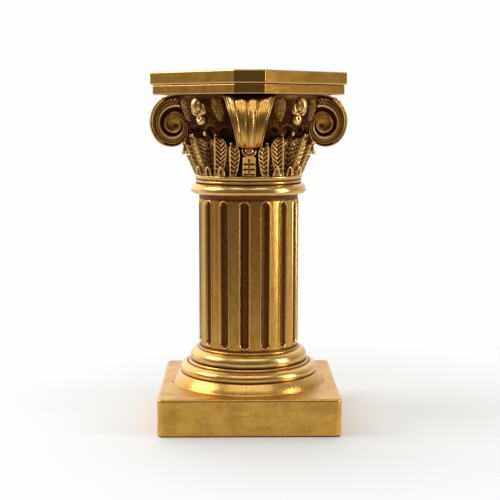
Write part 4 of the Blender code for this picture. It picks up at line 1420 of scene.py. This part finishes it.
class PEDESTAL_OT_bell(bpy.types.Operator):
    """Turns the bell of the capital and adds the wavy apron above its leaves"""

    bl_idname = "pedestal.bell"
    bl_label = "Bell"

    def execute(self, context):
        values = {"Flutes": 1, "Flute Width": 0.1 * MM, "Radius": BELL_FOOT_RADIUS, "Low": 1.0, "High": 1.0}
        item = turned_object("capital_bell", bell_profile(), bell_shadow_material(), BELL_STEPS, values)
        dress(item, "capital", bell_shadow_material())
        stock = Stock()
        stock.add_plate(*skirt_grids())
        stock.add_plate(*middle_leaf_grids())
        stock.add_tube(web_rings())
        carve_corners("capital_apron", stock, ground_wash_and_shade_material())
        return {"FINISHED"}


class PEDESTAL_OT_slab(bpy.types.Operator):
    """Builds the lower step of the top, a slab with cut corners"""

    bl_idname = "pedestal.slab"
    bl_label = "Lower slab"

    def execute(self, context):
        corners = cut_square(SLAB_HALF_SIDE, SLAB_CORNER_REACH)
        sizes = (TOP_CORNER_RADIUS, SLAB_BASE, CAPITAL_HIGH.z, SLAB_EDGE)
        item = slab_object("capital_slab", corners, *sizes)
        dress(item, "capital", node_material("top_plate"))
        return {"FINISHED"}


class PEDESTAL_OT_leaves(bpy.types.Operator):
    """Carves the ring of leaves round the foot of the capital"""

    bl_idname = "pedestal.leaves"
    bl_label = "Leaves"

    def execute(self, context):
        sizes = context.scene.pedestal_capital
        stock = Stock()
        for leaf in EIGHTH_LEAVES:
            for mirrored in (False, True):
                stock.add_plate(*leaf_grids(*leaf, sizes, mirrored))
        for degrees, reach, rise, radius in LEAF_KNOBS:
            stock.add_tube(knob_rings(degrees, reach * MM, CAPITAL_BASE + rise * MM, radius * MM))
        for place in DART_PLACES:
            stock.add_tube(dart_rings(place))
        carve_corners("capital_leaf_ring", stock, node_material("capital"))
        return {"FINISHED"}


class PEDESTAL_OT_stalks(bpy.types.Operator):
    """Builds the strap and small flower below each volute"""

    bl_idname = "pedestal.stalks"
    bl_label = "Stalks"

    def execute(self, context):
        stock = Stock()
        stock.add_plate(*stalk_grids())
        stock.add_tube(tulip_rings())
        stock.add_tube(cup_rings())
        carve_corners("capital_stalks", stock, node_material("capital"))
        return {"FINISHED"}


class PEDESTAL_OT_volutes(bpy.types.Operator):
    """Coils the four corner volutes"""

    bl_idname = "pedestal.volutes"
    bl_label = "Volutes"

    def execute(self, context):
        stock = volute_stock(context.scene.pedestal_capital.groove_depth)
        carve_corners("capital_volutes", stock, coil_material())
        return {"FINISHED"}


class PEDESTAL_OT_volute_leaves(bpy.types.Operator):
    """Drapes a petalled leaf over the rim of each volute"""

    bl_idname = "pedestal.volute_leaves"
    bl_label = "Volute leaves"

    def execute(self, context):
        stock = Stock()
        stock.add_tube(volute_leaf_rings(context.scene.pedestal_capital))
        carve_corners("capital_volute_leaves", stock, petal_material())
        return {"FINISHED"}


class PEDESTAL_OT_buds(bpy.types.Operator):
    """Shapes the folded bud at the middle of each side"""

    bl_idname = "pedestal.buds"
    bl_label = "Buds"

    def execute(self, context):
        carve_corners("capital_buds", bud_stock(), coil_material(), turn=QUARTER / 2)
        return {"FINISHED"}


class PEDESTAL_OT_clusters(bpy.types.Operator):
    """Scatters the beads of the clusters at both sides of each volute"""

    bl_idname = "pedestal.clusters"
    bl_label = "Clusters"

    def execute(self, context):
        sizes = context.scene.pedestal_capital
        material = bead_material()
        pair = Stock()
        for side in (-1, 1):
            body = cluster_body().to_object("cluster")
            values = {
                "Bead Radius": sizes.bead_radius,
                "Spacing": sizes.bead_radius * 1.35,
                "Seed": sizes.bead_seed + side,
                "Material": material,
            }
            apply_tree(body, bead_tree(), values)
            pair.add_mesh(body.data, side * CLUSTER_TURN)
            bpy.data.objects.remove(body)
        carve_corners("capital_clusters", pair, material)
        return {"FINISHED"}


class PEDESTAL_OT_top_plate(bpy.types.Operator):
    """Builds the upper step of the top, a plate with cut corners"""

    bl_idname = "pedestal.top_plate"
    bl_label = "Top plate"

    def execute(self, context):
        corners = cut_square(TOP_HALF_SIDE, TOP_CORNER_REACH)
        sizes = (TOP_CORNER_RADIUS, TOP_LOW.z, TOP_HIGH.z, TOP_EDGE)
        item = slab_object("top_plate_body", corners, *sizes)
        dress(item, "top_plate", node_material("top_plate"))
        return {"FINISHED"}


class PEDESTAL_OT_ageing_and_shading(bpy.types.Operator):
    """Makes the castings slightly uneven and finds the hollows and edges for the wash, painted shade and
    painted highlight of the finish
    """

    bl_idname = "pedestal.ageing"
    bl_label = "Ageing"

    def execute(self, context):
        settings = context.scene.pedestal_finish
        items = [item for item in bpy.data.objects if item.name in UNEVENNESS]
        surroundings = joined_copy(items)
        tree = ageing_and_shading_tree(settings.ray_count)
        values = {"Surroundings": surroundings, "Reach": settings.wash_and_shade_reach}
        for item in items:
            material = item.data.materials[0]
            apply_tree(item, tree, {**values, "Unevenness": UNEVENNESS[item.name]})
            item.data.materials.clear()
            item.data.materials.append(material)
        mesh = surroundings.data
        bpy.data.objects.remove(surroundings)
        bpy.data.meshes.remove(mesh)
        return {"FINISHED"}


def area_light(name, place, aim_level, width, height, energy):
    """Soft light aimed at a level on the pedestal's axis."""
    data = bpy.data.lights.new(name, "AREA")
    data.shape = "RECTANGLE"
    data.size = width
    data.size_y = height
    data.energy = energy
    light = place_in_scene(name, data)
    light.location = place
    light.rotation_euler = (Vector((0, 0, aim_level)) - Vector(place)).to_track_quat("-Z", "Y").to_euler()


def stage_world():
    """White to the camera, and to the object a room that is dim in front and bright behind and above."""
    world = bpy.context.scene.world or bpy.data.worlds.new("studio")
    bpy.context.scene.world = world
    tree = blank_tree(world)
    direction = tree.node("ShaderNodeTexCoord", output=0)
    right = tree.node("ShaderNodeSeparateXYZ", None, {0: direction})
    behind, above = tree.other(right, "Y"), tree.other(right, "Z")
    back = tree.smooth_step(behind, -0.05, 0.75) * (1.05 - right * 0.65)
    sides = right * right * 0.14
    overhead = tree.smooth_step(above, 0.15, 0.85) * 0.25
    strength = back + sides + overhead + 0.1
    seen = tree.node("ShaderNodeLightPath", output="Is Camera Ray")
    strength = strength * (1.0 - seen) + seen
    tint = tree.mix_colour(seen, (1.0, 0.98, 0.94, 1.0), (0.99, 0.99, 0.99, 1.0))
    background = tree.node("ShaderNodeBackground", None, {"Color": tint, "Strength": strength})
    tree.node("ShaderNodeOutputWorld", None, {"Surface": background})


def floor_material(tone):
    """White floor that runs into the white background, darker in front where only the object sees it."""
    material = bpy.data.materials.new("floor_paint")
    tree = blank_tree(material)
    place = tree.node("ShaderNodeTexCoord", output="Object")
    distance = tree.vector("LENGTH", place, output=1)
    along = tree.other(tree.node("ShaderNodeSeparateXYZ", None, {0: place}), "Y")
    seen = tree.node("ShaderNodeLightPath", output="Is Camera Ray")
    dim = tree.smooth_step(distance, 0.08, 0.7) * tree.smooth_step(along, 0.3, -0.2) * (1.0 - seen)
    colour_here = tree.mix_colour(dim, (*tone, 1.0), (0.2, 0.19, 0.18, 1.0))
    paint = tree.node("ShaderNodeBsdfPrincipled", None, {"Base Color": colour_here, "Roughness": 0.75})
    white = tree.node("ShaderNodeEmission", None, {"Color": (0.99, 0.99, 0.99, 1.0), "Strength": 1.0})
    beside = tree.vector("LENGTH", tree.vector("SUBTRACT", place, (0.06, 0.0, 0.0)), output=1)
    far = tree.smooth_step(beside, 0.12, 0.34) * seen
    shader = tree.node("ShaderNodeMixShader", None, {0: far, 1: paint, 2: white})
    tree.node("ShaderNodeOutputMaterial", None, {"Surface": shader})
    return material


class PEDESTAL_OT_stage(bpy.types.Operator):
    """Adds the white floor, the soft lights and the camera"""

    bl_idname = "pedestal.stage"
    bl_label = "Stage"

    def execute(self, context):
        settings = context.scene.pedestal_stage
        bpy.ops.mesh.primitive_plane_add(size=8.0, location=(0.0, 0.0, -0.05 * MM))
        floor = context.active_object
        floor.name = "floor"
        floor.data.materials.append(floor_material(settings.floor))

        area_light("left_light", (-1.3, -0.1, 1.0), 0.15, 0.9, 0.8, settings.left_power)
        area_light("right_light", (1.3, -0.44, 0.4), 0.15, 0.26, 1.1, settings.right_power)
        area_light("top_light", (0.0, -0.75, 1.4), 0.1, 1.5, 0.7, settings.top_power)
        stage_world()

        data = bpy.data.cameras.new("camera")
        data.lens = LENS
        data.sensor_width = SENSOR_WIDTH
        camera = place_in_scene("camera", data)
        camera.location = CAMERA_PLACE
        camera.rotation_euler = CAMERA_TURN
        context.scene.camera = camera
        context.scene.view_settings.view_transform = "Standard"
        return {"FINISHED"}


OPERATORS = (
    PEDESTAL_OT_plinth,
    PEDESTAL_OT_column,
    PEDESTAL_OT_bell,
    PEDESTAL_OT_slab,
    PEDESTAL_OT_leaves,
    PEDESTAL_OT_stalks,
    PEDESTAL_OT_volutes,
    PEDESTAL_OT_volute_leaves,
    PEDESTAL_OT_buds,
    PEDESTAL_OT_clusters,
    PEDESTAL_OT_top_plate,
    PEDESTAL_OT_ageing_and_shading,
    PEDESTAL_OT_stage,
)


class PEDESTAL_PT_panel(bpy.types.Panel):
    """Sizes, colours and buttons of the column pedestal"""

    bl_label = "Column Pedestal"
    bl_idname = "PEDESTAL_PT_panel"
    bl_space_type = "VIEW_3D"
    bl_region_type = "UI"
    bl_category = "Pedestal"

    def draw(self, context):
        for title, group in SETTINGS.items():
            box = self.layout.box()
            box.label(text=title.replace("pedestal_", "").capitalize())
            settings = getattr(context.scene, title)
            for name in group.__annotations__:
                box.prop(settings, name)
        for operator in OPERATORS:
            self.layout.operator(operator.bl_idname)


SETTINGS = {
    "pedestal_column": PEDESTAL_PG_column,
    "pedestal_capital": PEDESTAL_PG_capital,
    "pedestal_finish": PEDESTAL_PG_finish,
    "pedestal_stage": PEDESTAL_PG_stage,
}
CLASSES = (*SETTINGS.values(), *OPERATORS, PEDESTAL_PT_panel)


def register():
    for cls in CLASSES:
        bpy.utils.register_class(cls)
    for name, group in SETTINGS.items():
        setattr(bpy.types.Scene, name, bpy.props.PointerProperty(type=group))


def unregister():
    for name in SETTINGS:
        delattr(bpy.types.Scene, name)
    for cls in reversed(CLASSES):
        bpy.utils.unregister_class(cls)


def main():
    register()
    bpy.ops.pedestal.plinth()
    bpy.ops.pedestal.column()
    bpy.ops.pedestal.bell()
    bpy.ops.pedestal.slab()
    bpy.ops.pedestal.leaves()
    bpy.ops.pedestal.stalks()
    bpy.ops.pedestal.volutes()
    bpy.ops.pedestal.volute_leaves()
    bpy.ops.pedestal.buds()
    bpy.ops.pedestal.clusters()
    bpy.ops.pedestal.top_plate()
    bpy.ops.pedestal.ageing()
    bpy.ops.pedestal.stage()


if __name__ == "__main__":
    main()
